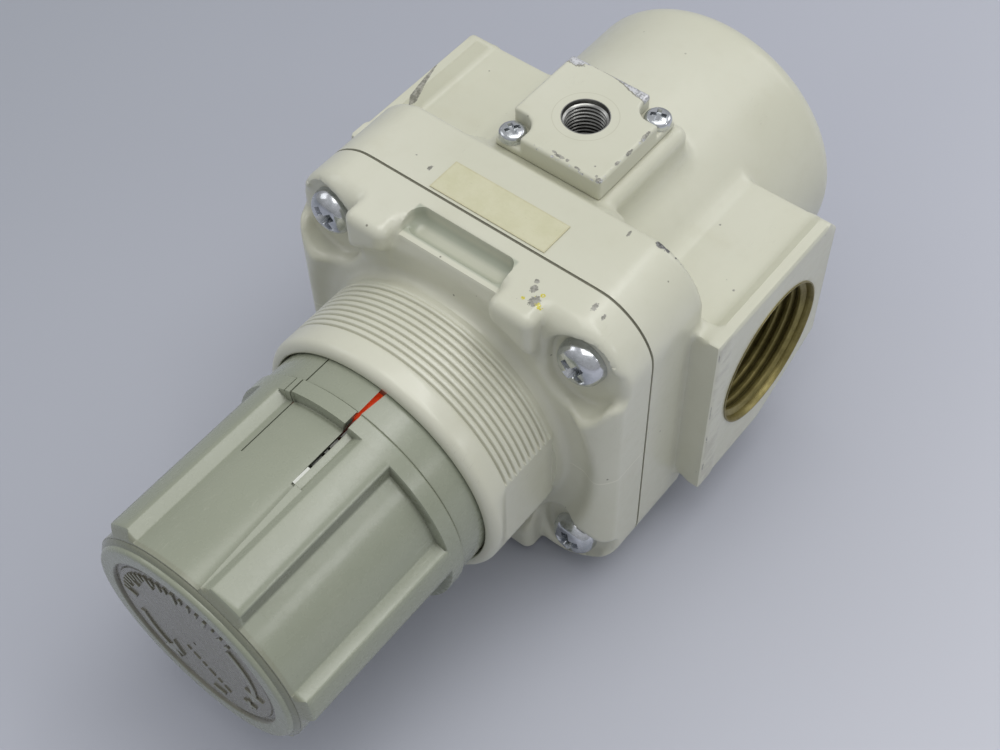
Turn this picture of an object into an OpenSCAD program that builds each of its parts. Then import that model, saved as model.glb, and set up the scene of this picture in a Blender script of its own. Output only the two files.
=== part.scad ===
// Air pressure regulator, 1 inch pipe class, with a pull-to-unlock knob.
// Final frame: +X out of the outlet port, -Y out through the knob, +Z out of the gauge port.
// The origin is where the axis of the two pipe ports crosses the axis of the valve and knob.
// Every module is drawn in a working frame (x = port axis, y = gauge side, z = towards the knob)
// and then turned into the final frame by place().
// In the working frame, front is +z and rear is -z, except that the "rear" adapter and plug
// are the ones on the -y side, opposite to the gauge port.

/* [Body casting] */
// Distance between the two port faces
port_span = 95; // [93:1:99]
// Side of the square diaphragm flange
flange_side = 82; // [80:1:84]
// Corner radius of the square diaphragm flange
flange_corner_r = 12; // [9:1:13]
// Radius of the rear barrel
barrel_r = 33.1; // [32.5:0.1:34]
// Distance from the port axis to the rear end of the barrel
rear_depth = 50; // [50:0.5:54]
// Height of the port blocks on each side of the port axis
block_half = 21.8; // [20.5:0.1:22.5]
// Height of the port flange lips on each side of the port axis
lip_half = 24.5; // [23.5:0.1:25.5]

/* [Ports] */
// Wall radius of the threaded pipe ports
port_r = 15.7; // [15:0.1:16.5]
// Depth of the threaded pipe ports
port_depth = 20; // [17:0.5:20]
// Wall radius of the threaded gauge ports
gauge_r = 4.7; // [4.5:0.05:4.9]
// Side of the square gauge port adapters
adapter_side = 26; // [25:0.5:27]

/* [Bonnet] */
// Outside radius of the panel thread on the neck
neck_r = 30.2; // [29.8:0.1:31]
// Front end of the neck, measured from the port axis
neck_front = 71; // [70:0.5:72]
// Distance of the bonnet screws from the two middle planes
screw_pos = 31; // [30.5:0.1:31.5]
// Radius of the bonnet screw heads
screw_head_r = 5.2; // [5:0.1:6.4]

/* [Knob] */
// Outside radius over the knob's grip ribs
knob_r = 27.9; // [27.5:0.1:29]
// Radius of the recessed panels between the ribs
panel_r = 25.6; // [25.2:0.1:26]
// Number of grip ribs
ribs = 6; // [4:1:8]
// Width of each rib, in degrees
rib_angle = 13.6; // [10:0.2:18]
// Direction of the first rib, in degrees from the gauge side towards the outlet
rib_start = 24; // [20:1:28]

/* [Springs] */
// Coils of the adjusting spring
main_coils = 6; // [4:1:7]
// Wire radius of the adjusting spring
main_wire_r = 1.75; // [1.2:0.05:1.9]
// Coils of the valve spring
valve_coils = 7; // [4:1:9]

/* [Hidden] */
$fn = 64;
gap = 0.05;                // between faces of neighbouring parts
fit = 0.06;                // radial play of round parts in their bores
skin = 0.01;               // gap at the faces of the diaphragm and the label
over = 1;                  // overrun of cuts past the faces they open

// Casting: stations along the valve axis, unless noted
half_span = port_span / 2;
flange_rear = 19.5;
body_front = 36;
bonnet_rear = 36.6;        // the diaphragm's edge is clamped between this and body_front
chamber_r = 30.5;          // recess around the diaphragm
bonnet_screw_r = 3;
screw_seat = 44.4;         // floor of the bonnet screw recesses
web_rear = 58;             // underside of the web that carries the tower
tower_front = 100;
tower_r = 21;
cap_rear = 96;             // inner end of the tower bore

// Gauge ports and adapters, distances along y unless noted
gauge_z = 3;               // gauge port axis, along the valve axis
pad_face = 37.2;
adapter_face = 42.6;
adapter_half = adapter_side / 2;
adapter_screw_pos = 10.4;  // from the gauge port axis, along x and z
adapter_screw_r = 1.5;
screw_floor = pad_face + 2; // floor of the adapter screw recesses
spigot_r = 9;
oring_groove = [30.2, 32.2];

// Valve train, from rear to front
guide_front = -30;
guide_step = -45;          // step in the body that the guide's head faces
guide_groove = [-36.1, -33.5];
pocket_floor = -40;        // floor of the spring pocket in the guide
stem_r = 4;
pin_r = 3;
disc_r = 10.4;
disc_rear = -14;
disc_front = -10.2;
seat_r = 11.5;
seat_rear = -7.9;
diaphragm_front = 39.6;
plate_front = 41.6;
relief_r = 5;

// Adjusting screw and knob
nut_rear = 80;
nut_front = 88;
screw_r = 6;
collar_r = 11;
washer_rear = 95;
clip_groove = [100.3, 101.5];
clip_groove_r = 5;
skirt_front = 78;
knob_front = 121.5;
tongue_left = -21.5;       // sides of the knob's spring tongue, in degrees like rib_start
tongue_right = 8.4;

cream = [0.80, 0.80, 0.72];
greygreen = [0.58, 0.60, 0.54];
zinc = [0.75, 0.76, 0.78];
brassy = [0.72, 0.58, 0.30];
rubber = [0.07, 0.07, 0.07];
steel = [0.60, 0.61, 0.63];

function middle(range) = (range[0] + range[1]) / 2;

module place() { rotate([90, 0, 0]) children(); }

// Box between two opposite corners
module box(low, high) { translate(low) cube(high - low); }

// Cylinders along the valve, port and gauge axes
module rod(radius, z0, z1) { translate([0, 0, z0]) cylinder(r = radius, h = z1 - z0); }
module xrod(radius, x0, x1, z = 0) {
    translate([0, 0, z]) rotate([0, 90, 0]) rod(radius, x0, x1);
}
module yrod(radius, y0, y1) { rotate([-90, 0, 0]) rod(radius, y0, y1); }

module cone(rear_r, front_r, z0, z1) {
    translate([0, 0, z0]) cylinder(r1 = rear_r, r2 = front_r, h = z1 - z0);
}

module ring(outer_r, inner_r, z0, z1) {
    difference() {
        rod(outer_r, z0, z1);
        rod(inner_r, z0 - over, z1 + over);
    }
}

module torus(radius, wire_r, z) {
    translate([0, 0, z]) rotate_extrude() translate([radius, 0]) circle(r = wire_r, $fn = 32);
}

module at_corners(offset) {
    for (x = [-offset, offset], y = [-offset, offset]) translate([x, y, 0]) children();
}

// Prism along the valve axis with a square outline and rounded corners
module rounded_square(side, radius, z0, z1) {
    edge = side / 2;
    corner = edge - radius;
    box([-edge, -corner, z0], [edge, corner, z1]);
    box([-corner, -edge, z0], [corner, edge, z1]);
    at_corners(corner) rod(radius, z0, z1);
}

// Wedge around the valve axis; angles run from the gauge side towards the outlet
module wedge(angle0, angle1, radius, z0, z1) {
    middle = (angle0 + angle1) / 2;
    far = 1.15 * radius;
    translate([0, 0, z0]) linear_extrude(height = z1 - z0) polygon([
        [0, 0],
        [radius * sin(angle0), radius * cos(angle0)],
        [far * sin(middle), far * cos(middle)],
        [radius * sin(angle1), radius * cos(angle1)]]);
}

// Wire coil along the valve axis; steps are per turn, z0 and z1 are wire centres
module coil(radius, wire_r, z0, z1, turns, steps) {
    sides = 8;
    count = turns * steps;
    points = [for (i = [0:count])
        let (turn = 360 * i / steps, z = z0 + (z1 - z0) * i / count)
        for (k = [0:sides - 1])
            let (around = 360 * k / sides, reach = radius + wire_r * cos(around))
            [reach * cos(turn), reach * sin(turn), z + wire_r * sin(around)]];
    walls = [for (i = [0:count - 1], k = [0:sides - 1])
        let (here = i * sides, ahead = here + sides, next = (k + 1) % sides)
        [here + k, ahead + k, ahead + next, here + next]];
    first_end = [for (k = [0:sides - 1]) k];
    last_end = [for (k = [sides - 1:-1:0]) count * sides + k];
    polyhedron(points = points, faces = concat(walls, [first_end, last_end]), convexity = 6);
}

// Pan head screw along +z with its seat at z = 0 and a cross recess
module pan_screw(head_r, head_h, shank_r, length) {
    dome_r = head_r * 1.6;
    recess_z = head_h * 0.45;
    difference() {
        union() {
            rod(head_r, 0, recess_z);
            intersection() {
                rod(head_r, head_h * 0.4, head_h);
                translate([0, 0, head_h - dome_r]) sphere(r = dome_r);
            }
            rod(shank_r, -length, 0.1);
        }
        for (angle = [0, 90]) rotate([0, 0, angle])
            box([-head_r * 0.5, -head_r * 0.13, recess_z],
                [head_r * 0.5, head_r * 0.13, recess_z + head_h]);
    }
}

// Moves the origin onto the gauge port axis; 180 gives the opposite port
module at_gauge_port(angle = 0) {
    rotate([0, 0, angle]) translate([0, 0, gauge_z]) children();
}

// The two adapter screws, in the frame of at_gauge_port()
module at_adapter_screws() {
    for (angle = [0, 180]) rotate([0, angle, 0])
        translate([adapter_screw_pos, 0, -adapter_screw_pos]) children();
}

// ---- Castings ----

// Outlet port block; the inlet's is its mirror image
module port_block() {
    lip_rear = -21;
    lip_front = 22.7;
    neck_x = half_span - 5.6;
    rim_x = half_span - 2.9;
    // y and z of the corners cut off the rear of the lip
    chamfers = [
        [[lip_half + 1, -17], [lip_half + 1, -22], [lip_half - 4, -22]],
        [[-lip_half - 1, -3], [-lip_half - 1, -22], [-lip_half + 6, -22]]];
    box([18, -block_half, -20.5], [43, block_half, 20.5]);
    difference() {
        translate([0, 0, lip_rear]) linear_extrude(height = lip_front - lip_rear) polygon([
            [neck_x, -block_half], [rim_x, -lip_half], [half_span, -lip_half],
            [half_span, lip_half], [rim_x, lip_half], [neck_x, block_half]]);
        for (outline = chamfers) translate([half_span - 7, 0, 0]) rotate([90, 0, 90])
            linear_extrude(height = 7 + over) polygon(outline);
    }
    // bar along the front edge of the lip
    box([half_span - 8.5, -lip_half, 18.5], [half_span, lip_half, lip_front]);
}

module port_cut() {
    chamfer = 1.5;
    xrod(port_r, half_span - port_depth, half_span + over);
    rotate([0, 90, 0])
        cone(port_r, port_r + chamfer, half_span - chamfer, half_span + 0.001);
}

module body() {
    port_end = half_span - port_depth + 0.1;
    color(cream) place() difference() {
        union() {
            rounded_square(flange_side, flange_corner_r, flange_rear, body_front);
            rod(barrel_r, -rear_depth, flange_rear + 1);
            for (i = [0, 1]) mirror([i, 0, 0]) port_block();
            // gauge pads
            box([-15.6, -pad_face, -12.2], [15.6, pad_face, 20.8]);
        }
        for (i = [0, 1]) mirror([i, 0, 0]) port_cut();
        // passages from the ports to the rear and front of the valve seat
        xrod(8.5, -port_end, 0, -13);
        xrod(9, 0, port_end, 7);
        // bores along the valve axis, front to rear
        rod(chamber_r, 26, body_front + over);
        rod(20, -1, 27);
        rod(seat_r + gap, -9, 0);
        rod(14, guide_front, -8);
        rod(19.03, guide_step - over, guide_front + over);
        rod(24.6, -rear_depth - over, guide_step);
        rod(25.6, -49.4, -48.05); // clip groove
        at_corners(screw_pos) rod(bonnet_screw_r + gap, 22, body_front + over);
        for (angle = [0, 180]) at_gauge_port(angle) {
            yrod(spigot_r + fit, 28, pad_face + over);
            yrod(3, 10, 29);
            at_adapter_screws() yrod(adapter_screw_r + gap, 29, pad_face + over);
        }
    }
}

module bonnet() {
    land_rear = 65.3;
    color(cream) place() difference() {
        union() {
            rounded_square(flange_side, flange_corner_r, bonnet_rear, 43);
            rounded_square(flange_side - 8, flange_corner_r - 3, 42, 47.2);
            rod(neck_r - 0.6, 46, land_rear + 0.1); // thread, drawn plain at its pitch radius
            rod(neck_r, land_rear, neck_front);     // plain land in front of the thread
            // lugs
            for (i = [0, 1], k = [0, 1]) mirror([i, 0, 0]) mirror([0, k, 0])
                box([12.6, 24, 38], [22.8, 40.9, 51]);
            rod(tower_r, web_rear, tower_front);
        }
        // pockets between the lugs, on the gauge side and mirrored
        for (i = [0, 1]) mirror([0, i, 0]) box([-12, 37.8, 39.9], [12, 43.8, 45.3]);
        // screw recesses and holes
        at_corners(screw_pos) {
            rod(7.9, screw_seat, 60);
            rod(bonnet_screw_r + gap, 30, 60);
        }
        // flats on the sides of the panel thread
        for (i = [0, 1]) mirror([i, 0, 0]) box([28.4, -30, 50], [38.4, 30, land_rear]);
        // diaphragm recess, spring chamber and annular space for the knob's skirt
        rod(chamber_r, 36, 41);
        rod(27, 40, web_rear);
        ring(27.6, tower_r, 62, neck_front + over);
        // tower bore, keyway for the spring nut and hole for the adjusting screw
        rod(18.2, web_rear - over, cap_rear);
        box([-20.05, -3.2, web_rear - over], [20.05, 3.2, 92]);
        rod(screw_r + fit, 90, tower_front + over);
        // breather hole
        translate([0, 0, 50]) yrod(1.25, -40, -20);
    }
}

module bonnet_screws() {
    color(zinc) place() at_corners(screw_pos) translate([0, 0, screw_seat + gap])
        pan_screw(screw_head_r, head_h = 4.1, shank_r = bonnet_screw_r, length = 20);
}

// ---- Gauge port adapters, drawn in the frame of at_gauge_port() ----

module adapter_shape() {
    recess_r = 3.9;
    recess_reach = 9;      // past the outer edges of the adapter
    recess_end = screw_floor + 9;
    chamfer = 0.5;
    difference() {
        union() {
            box([-adapter_half, pad_face + gap, -adapter_half],
                [adapter_half, adapter_face, adapter_half]);
            yrod(spigot_r, 28.1, pad_face + 1);
        }
        at_adapter_screws() {
            yrod(recess_r, screw_floor, adapter_face + over);
            box([0, screw_floor, -recess_r], [recess_reach, recess_end, recess_r]);
            box([-recess_r, screw_floor, -recess_reach], [recess_r, recess_end, 0]);
            yrod(1.6, pad_face - over, adapter_face);
        }
        yrod(gauge_r, 27, adapter_face + over);
        rotate([-90, 0, 0]) {
            cone(gauge_r, gauge_r + chamfer, adapter_face - chamfer, adapter_face + 0.001);
            ring(10, 7.4, oring_groove[0], oring_groove[1]);
        }
    }
}

module adapter_screw_set() {
    at_adapter_screws() rotate([-90, 0, 0]) translate([0, 0, screw_floor + gap])
        pan_screw(head_r = 2.9, head_h = 2.1, shank_r = adapter_screw_r, length = 9);
}

module adapter_oring() { rotate([-90, 0, 0]) torus(8.25, 0.79, middle(oring_groove)); }

module gauge_adapter() { color(cream) place() at_gauge_port() adapter_shape(); }
module gauge_adapter_screws() { color(zinc) place() at_gauge_port() adapter_screw_set(); }
module gauge_adapter_oring() { color(rubber) place() at_gauge_port() adapter_oring(); }
module rear_adapter() { color(cream) place() at_gauge_port(180) adapter_shape(); }
module rear_adapter_screws() { color(zinc) place() at_gauge_port(180) adapter_screw_set(); }
module rear_adapter_oring() { color(rubber) place() at_gauge_port(180) adapter_oring(); }

// Plug with a hexagon socket
module rear_plug() {
    color(zinc) place() at_gauge_port(180) difference() {
        yrod(gauge_r - gap, 31, adapter_face - 0.4);
        yrod(2.89, adapter_face - 4.4, adapter_face + 1.6, $fn = 6);
    }
}

// Plate on the gauge side of the body's flange
module label() {
    rear_y = flange_side / 2 + skin;
    color([0.87, 0.85, 0.72]) place() box([-13.5, rear_y, 27.2], [14.5, rear_y + 0.15, 35.4]);
}

// ---- Valve train ----

module valve_guide() {
    head_rear = -48;
    color([0.35, 0.35, 0.36]) place() difference() {
        union() {
            rod(24.5, head_rear, guide_step - gap);
            rod(18.97, guide_step - 0.1, guide_front);
        }
        rod(8.5, pocket_floor, guide_front + over);
        rod(stem_r + fit, -46, pocket_floor + over);
        ring(20, 16.7, guide_groove[0], guide_groove[1]);
        rod(7.5, head_rear - 0.1, -46.2, $fn = 6); // hexagon socket
    }
}

// Split clip behind the guide, open opposite to the gauge side
module guide_clip() {
    color(steel) place() difference() {
        ring(25.5, 21.6, -49.3, -48.1);
        wedge(160, 200, 30, -50, -47);
    }
}

module guide_oring() { color(rubber) place() torus(17.88, 1.1, middle(guide_groove)); }

module valve_seat() { color(brassy) place() ring(seat_r, 8, seat_rear, -1.2); }

module valve_stem() {
    color(brassy) place() {
        rod(stem_r, -42, disc_rear);
        rod(disc_r, disc_rear - 0.01, disc_front);
        rod(pin_r, disc_front - 0.1, 33.4);
    }
}

module valve_rubber() {
    color(rubber) place() ring(disc_r, pin_r + gap, disc_front + gap, seat_rear - gap);
}

module valve_spring() {
    wire_r = 0.7;
    inset = gap + wire_r;
    color(steel) place()
        coil(6.6, wire_r, pocket_floor + inset, disc_rear - inset, valve_coils, steps = 20);
}

// ---- Diaphragm assembly ----

// Square clamped edge and a dished round middle
module diaphragm() {
    edge_rear = body_front + skin;
    edge_front = bonnet_rear - skin;
    inner_r = relief_r + gap;
    middle_rear = 38.6;
    // radius and z
    profile = [
        [inner_r, middle_rear], [24.8, middle_rear], [28.6, edge_rear], [30, edge_rear],
        [30, edge_front], [29.1, edge_front], [25.2, diaphragm_front],
        [inner_r, diaphragm_front]];
    color(rubber) place() difference() {
        union() {
            difference() {
                rounded_square(flange_side - 0.3, flange_corner_r - 0.15, edge_rear, edge_front);
                rod(29.6, body_front - over, bonnet_rear + over);
            }
            rotate_extrude() polygon(profile);
        }
        at_corners(screw_pos) rod(3.2, 30, 40);
    }
}

module diaphragm_plate() {
    color(steel) place() difference() {
        union() {
            rod(23.8, diaphragm_front + gap, plate_front);
            rod(12.8, 41, 43.6);
        }
        rod(relief_r + 0.1, 39, 45);
        rod(9.6, plate_front, 45); // recess around the nut
    }
}

module relief_seat() {
    color(brassy) place() difference() {
        union() {
            rod(relief_r, 33.5, 44.6);
            rod(10, 36.8, 38.55); // flange behind the diaphragm
        }
        rod(1.2, 33, 45);
    }
}

module diaphragm_nut() {
    nut_z = plate_front + gap;
    color(zinc) place() difference() {
        rod(8.6, nut_z, nut_z + 2.4, $fn = 6);
        rod(relief_r + gap, 41, 45);
    }
}

// ---- Adjusting screw and spring ----

module adjusting_spring() {
    inset = gap + main_wire_r;
    color(steel) place()
        coil(15, main_wire_r, plate_front + inset, nut_rear - inset, main_coils, steps = 30);
}

module spring_nut() {
    color(steel) place() difference() {
        union() {
            rod(17.9, nut_rear, nut_front);
            rod(12.4, 76, nut_rear + 1);
            // keys on both sides
            box([-19.8, -3, nut_rear], [19.8, 3, nut_front]);
        }
        rod(screw_r + fit, 70, 90);
    }
}

module adjusting_screw() {
    color(steel) place() difference() {
        union() {
            rod(screw_r, 50, 102);
            rod(collar_r, 91.4, washer_rear - gap);
            rod(screw_r, 101.9, 112.5, $fn = 6); // hexagon end
        }
        ring(8, clip_groove_r, clip_groove[0], clip_groove[1]);
    }
}

module thrust_washer() {
    color(brassy) place() ring(collar_r, screw_r + fit, washer_rear, cap_rear - gap);
}

// Clip in the screw's groove, open towards the gauge side
module screw_clip() {
    color(steel) place() difference() {
        ring(8.8, clip_groove_r + gap, clip_groove[0] + gap, clip_groove[1] - gap);
        box([-1.5, 0, 100], [1.5, 12, 103]);
    }
}

// ---- Knob ----

module indicator_ring() {
    color([0.80, 0.22, 0.06]) place() ring(25.2, tower_r + gap, 66, skirt_front);
}

module knob() {
    pitch = 360 / ribs;
    panel_start = rib_start + rib_angle / 2;
    panel_end = rib_start - rib_angle / 2 + pitch;
    skirt_cut = 66;        // start of the cuts from the rear
    // slits beside the spring tongue: angle, half width, front end
    slits = [[tongue_left, 0.25, 95.5], [tongue_right, 0.5, 95.7]];
    color(greygreen) place() difference() {
        union() {
            rod(27.2, 67, skirt_front);
            rod(knob_r, skirt_front - 0.5, 120.1);
            cone(knob_r, panel_r - 0.1, 120.05, knob_front);
        }
        // recessed panels between the ribs, open at the front end
        for (i = [0:ribs - 1]) intersection() {
            ring(knob_r + 4, panel_r, 81.3, knob_front + over);
            wedge(panel_start + i * pitch, panel_end + i * pitch, 45, 80, 123);
        }
        // inside: skirt, space around the hub, screw bore, hexagon and cap recess
        rod(25.4, skirt_cut, 82.5);
        ring(23.3, 10, 82, 115.5);
        rod(10.1, 82, 106);
        rod(6.1, 105, 117, $fn = 6);
        rod(22, 117.8, 122);
        for (slit = slits) rotate([0, 0, -slit[0]])
            box([-slit[1], 20, skirt_cut], [slit[1], 32, slit[2]]);
    }
}

module knob_cap() {
    color(greygreen) place() difference() {
        union() {
            rod(24.4, knob_front + gap, 123.2);
            rod(21.9, 118, 122);
        }
        // groove around a recessed middle
        ring(20.4, 19.4, 122.4, 124);
        rod(19.5, 122.7, 124);
    }
}

body();
bonnet();
bonnet_screws();
gauge_adapter();
gauge_adapter_screws();
gauge_adapter_oring();
rear_adapter();
rear_adapter_screws();
rear_adapter_oring();
rear_plug();
label();
valve_guide();
guide_clip();
guide_oring();
valve_seat();
indicator_ring();
diaphragm();
diaphragm_plate();
relief_seat();
diaphragm_nut();
valve_stem();
valve_rubber();
valve_spring();
adjusting_spring();
spring_nut();
adjusting_screw();
thrust_washer();
screw_clip();
knob();
knob_cap();
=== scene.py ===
# Air pressure regulator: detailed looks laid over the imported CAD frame.
# Shapes are worked out in a working frame in millimetres: x = port axis (outlet at +x),
# y = gauge side, z = valve axis, front (+z) towards the knob. to_row() turns them into the
# row frame in metres, where the gauge side is up (+Z) and the knob points along -Y.
# Angles round the valve axis run in degrees from +y towards +x.
import bpy
import math
import numpy as np
from mathutils import Matrix, Vector


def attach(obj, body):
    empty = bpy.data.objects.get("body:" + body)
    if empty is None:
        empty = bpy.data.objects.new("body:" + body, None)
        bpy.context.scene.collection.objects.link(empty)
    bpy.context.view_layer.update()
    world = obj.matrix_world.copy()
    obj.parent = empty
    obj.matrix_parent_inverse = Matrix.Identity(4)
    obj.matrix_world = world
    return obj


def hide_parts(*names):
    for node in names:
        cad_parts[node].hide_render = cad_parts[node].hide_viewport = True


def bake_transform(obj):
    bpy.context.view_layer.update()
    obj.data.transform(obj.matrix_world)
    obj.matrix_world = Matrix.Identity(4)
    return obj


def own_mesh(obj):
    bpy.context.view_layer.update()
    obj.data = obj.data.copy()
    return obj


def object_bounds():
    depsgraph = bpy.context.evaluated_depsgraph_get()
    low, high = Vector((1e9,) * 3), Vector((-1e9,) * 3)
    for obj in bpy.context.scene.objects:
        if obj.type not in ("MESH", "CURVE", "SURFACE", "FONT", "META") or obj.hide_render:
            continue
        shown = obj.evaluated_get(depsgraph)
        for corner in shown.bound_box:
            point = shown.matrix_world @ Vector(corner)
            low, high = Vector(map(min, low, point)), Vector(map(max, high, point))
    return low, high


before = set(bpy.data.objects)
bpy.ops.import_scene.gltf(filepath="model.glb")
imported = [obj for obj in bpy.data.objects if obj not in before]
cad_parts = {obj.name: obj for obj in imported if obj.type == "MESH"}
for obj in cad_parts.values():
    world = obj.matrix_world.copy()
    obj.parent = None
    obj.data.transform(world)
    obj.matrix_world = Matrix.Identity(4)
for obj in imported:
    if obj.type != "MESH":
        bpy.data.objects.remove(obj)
cad_lo, cad_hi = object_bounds()

# Driving dimensions, mm
PORT_FACE = 47.5            # |x| of the pipe port faces
PORT_BORE = 16.9            # radius of the bore behind the pipe threads
FLANGE_HALF = 41            # half width of the square flange, body and bonnet
BODY_BACK, BODY_FRONT = -50, 36
BONNET_BACK = 36.6
CHAMBER_RADIUS = 30.5       # diaphragm chamber, body and bonnet
GAUGE_Z = 3.0               # gauge port axis
BONNET_SCREW = 31           # |x| and |y| of the bonnet screws
BONNET_SCREW_HOLE = 3.05
ADAPTER_HALF = 13           # half width of the square gauge adapter
ADAPTER_FACE = 42.6
ADAPTER_SCREW = 10.4        # offset of the adapter screws from the gauge port axis
TAPER = 0.03125             # radius lost per mm of depth in the pipe threads
NECK_ROOT, NECK_CREST = 29.62, 30.2
NECK_FLAT = 28.4            # |x| of the flats on the threaded neck


# ---------------------------------------------------------------- mesh helpers
def to_row(points):
    points = np.asarray(points, float)
    return np.stack([points[..., 0], -points[..., 2], points[..., 1]], -1) / 1000.0


def make(name, verts, faces, material, sharp):
    """Smooth-shaded object from working-frame vertices; edges over sharp degrees stay hard."""
    mesh = bpy.data.meshes.new(name)
    verts = to_row(verts)
    if isinstance(faces, np.ndarray):
        count, corners = faces.shape
        mesh.vertices.add(len(verts))
        mesh.vertices.foreach_set("co", verts.astype(np.float32).ravel())
        mesh.loops.add(count * corners)
        mesh.loops.foreach_set("vertex_index", faces.astype(np.int32).ravel())
        mesh.polygons.add(count)
        starts = (np.arange(count) * corners).astype(np.int32)
        mesh.polygons.foreach_set("loop_start", starts)
        mesh.polygons.foreach_set("loop_total", np.full(count, corners, np.int32))
        mesh.update(calc_edges=True)
    else:
        face_lists = [tuple(int(i) for i in face) for face in faces]
        mesh.from_pydata([tuple(point) for point in verts], [], face_lists)
    mesh.validate()
    mesh.polygons.foreach_set("use_smooth", np.full(len(mesh.polygons), True))
    mesh.set_sharp_from_angle(angle=math.radians(sharp))
    mesh.update()
    piece = bpy.data.objects.new(name, mesh)
    bpy.context.scene.collection.objects.link(piece)
    mesh.materials.append(material)
    return piece


def join(parts):
    """Several (verts, faces) to one; faces may mix triangles and quads."""
    verts, faces, offset = [], [], 0
    for part_verts, part_faces in parts:
        verts.append(np.asarray(part_verts, float))
        faces += [tuple(int(i) + offset for i in face) for face in part_faces]
        offset += len(part_verts)
    return np.vstack(verts), faces


def stack_copies(copies, quads):
    """Moved copies of one quad mesh as a single mesh."""
    return np.vstack(copies), np.vstack([quads + i * len(copies[0]) for i in range(len(copies))])


def spin(points, degrees):
    """Points turned about z."""
    c, s = math.cos(math.radians(degrees)), math.sin(math.radians(degrees))
    x, y, z = points.T
    return np.stack([x * c - y * s, x * s + y * c, z], 1)


def polar(radius, degrees):
    """x, y of a point round the valve axis."""
    angle = math.radians(degrees)
    return radius * math.sin(angle), radius * math.cos(angle)


def arc(centre_r, centre_z, radius, start, end, steps):
    """Points of a profile arc, angles in degrees in the (r, z) plane."""
    angles = [math.radians(start + (end - start) * i / steps) for i in range(steps + 1)]
    return [(centre_r + radius * math.cos(a), centre_z + radius * math.sin(a)) for a in angles]


def closed_quads(around, along):
    """Quads of a grid that closes on itself in both directions."""
    i, j = np.meshgrid(np.arange(around), np.arange(along), indexing="ij")
    i2, j2 = (i + 1) % around, (j + 1) % along
    corners = [i * along + j, i * along + j2, i2 * along + j2, i2 * along + j]
    return np.stack(corners, -1).reshape(-1, 4)


def lathe(profile, segments=None, angles=None, radius_at=None):
    """Closed profile [(r, z)] turned round the valve axis, in even segments or at given angles.
    radius_at(r, z, angle, row) may alter the radius."""
    if angles is None:
        turn = np.arange(segments) * 2 * math.pi / segments
    else:
        turn = np.radians(np.asarray(angles))
    profile = np.asarray(profile, float)
    angle, row = np.meshgrid(turn, np.arange(len(profile)), indexing="ij")
    r, z = profile[row, 0], profile[row, 1]
    if radius_at is not None:
        r = radius_at(r, z, angle, row)
    verts = np.stack([r * np.sin(angle), r * np.cos(angle), z], -1).reshape(-1, 3)
    return verts, closed_quads(len(turn), len(profile))


def coil(radius, wire, z0, z1, turns, steps, sides):
    """Wire spring on the valve axis from z0 to z1, with closed and ground end turns."""
    closed = 0.75               # closed turns at each end
    close_pitch = 1.04          # rise of a closed turn, in wire thicknesses
    total = turns + 2 * closed
    count = int(total * steps)
    t = np.linspace(0, total, count + 1)
    pitch = (z1 - z0 - 2 * wire - 2 * wire * 2 * closed * close_pitch) / turns
    first = z0 + wire + np.minimum(t, closed) * 2 * wire * close_pitch
    open_rise = np.clip(t - closed, 0, turns) * pitch
    last = np.clip(t - closed - turns, 0, None) * 2 * wire * close_pitch
    z = first + open_rise + last
    turn = 2 * math.pi * t
    section = 2 * math.pi * np.arange(sides) / sides
    r = radius + wire * np.cos(section)[None]
    verts = np.stack([r * np.cos(turn)[:, None], r * np.sin(turn)[:, None],
                      z[:, None] + wire * np.sin(section)[None]], -1)
    verts[..., 2] = np.clip(verts[..., 2], z0, z1)
    faces = []
    for i in range(count):
        here, there = i * sides, (i + 1) * sides
        for k in range(sides):
            k2 = (k + 1) % sides
            faces.append((here + k, there + k, there + k2, here + k2))
    faces.append(tuple(range(sides)))
    faces.append(tuple(count * sides + k for k in range(sides - 1, -1, -1)))
    return verts.reshape(-1, 3), faces


# ---------------------------------------------------------------- dual contouring
def find_crossing(field, start, edge, value0, value1):
    """Fraction along each grid edge where the field is zero: false position and bisection."""
    low_t, high_t = np.zeros(len(start)), np.ones(len(start))
    low_f, high_f = value0.copy(), value1.copy()
    t = low_f / (low_f - high_f)
    for turn in range(4):
        value = field(*(start + t[:, None] * edge).T)
        same = (value < 0) == (low_f < 0)
        low_t = np.where(same, t, low_t)
        low_f = np.where(same, value, low_f)
        high_t = np.where(same, high_t, t)
        high_f = np.where(same, high_f, value)
        drop = low_f - high_f
        drop = np.where(np.abs(drop) < 1e-12, 1e-12, drop)
        linear = low_t + (high_t - low_t) * low_f / drop
        t = linear if turn % 2 == 0 else 0.5 * (linear + 0.5 * (low_t + high_t))
    return np.clip(linear, 0, 1)


def gradient(field, points, reach):
    """Unit normals of the field by central differences."""
    normals = np.empty_like(points)
    for i in range(3):
        step = np.zeros(3)
        step[i] = reach
        normals[:, i] = field(*(points + step).T) - field(*(points - step).T)
    return normals / np.maximum(np.linalg.norm(normals, axis=1), 1e-12)[:, None]


def fit_corners(points, normals, owner, count):
    """Mean of each cell's crossing points, and the shift from it to the best fitting corner."""
    hits = np.bincount(owner, minlength=count).astype(float)
    mean = np.stack([np.bincount(owner, points[:, i], count) for i in range(3)], 1)
    mean /= hits[:, None]
    offset = np.einsum("ij,ij->i", normals, points - mean[owner])
    matrix = np.empty((count, 3, 3))
    right = np.empty((count, 3))
    for i in range(3):
        right[:, i] = np.bincount(owner, normals[:, i] * offset, count)
        for j in range(i, 3):
            entry = np.bincount(owner, normals[:, i] * normals[:, j], count)
            matrix[:, i, j] = matrix[:, j, i] = entry
    size, axes = np.linalg.eigh(matrix)
    # weak directions are left out, so flat and straight parts stay at their mean
    inverse = np.where(size > 0.1 * size[:, 2:3], 1 / np.maximum(size, 1e-9), 0)
    shift = np.einsum("mij,mj->mi", axes, inverse * np.einsum("mji,mj->mi", axes, right))
    return mean, shift


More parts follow.
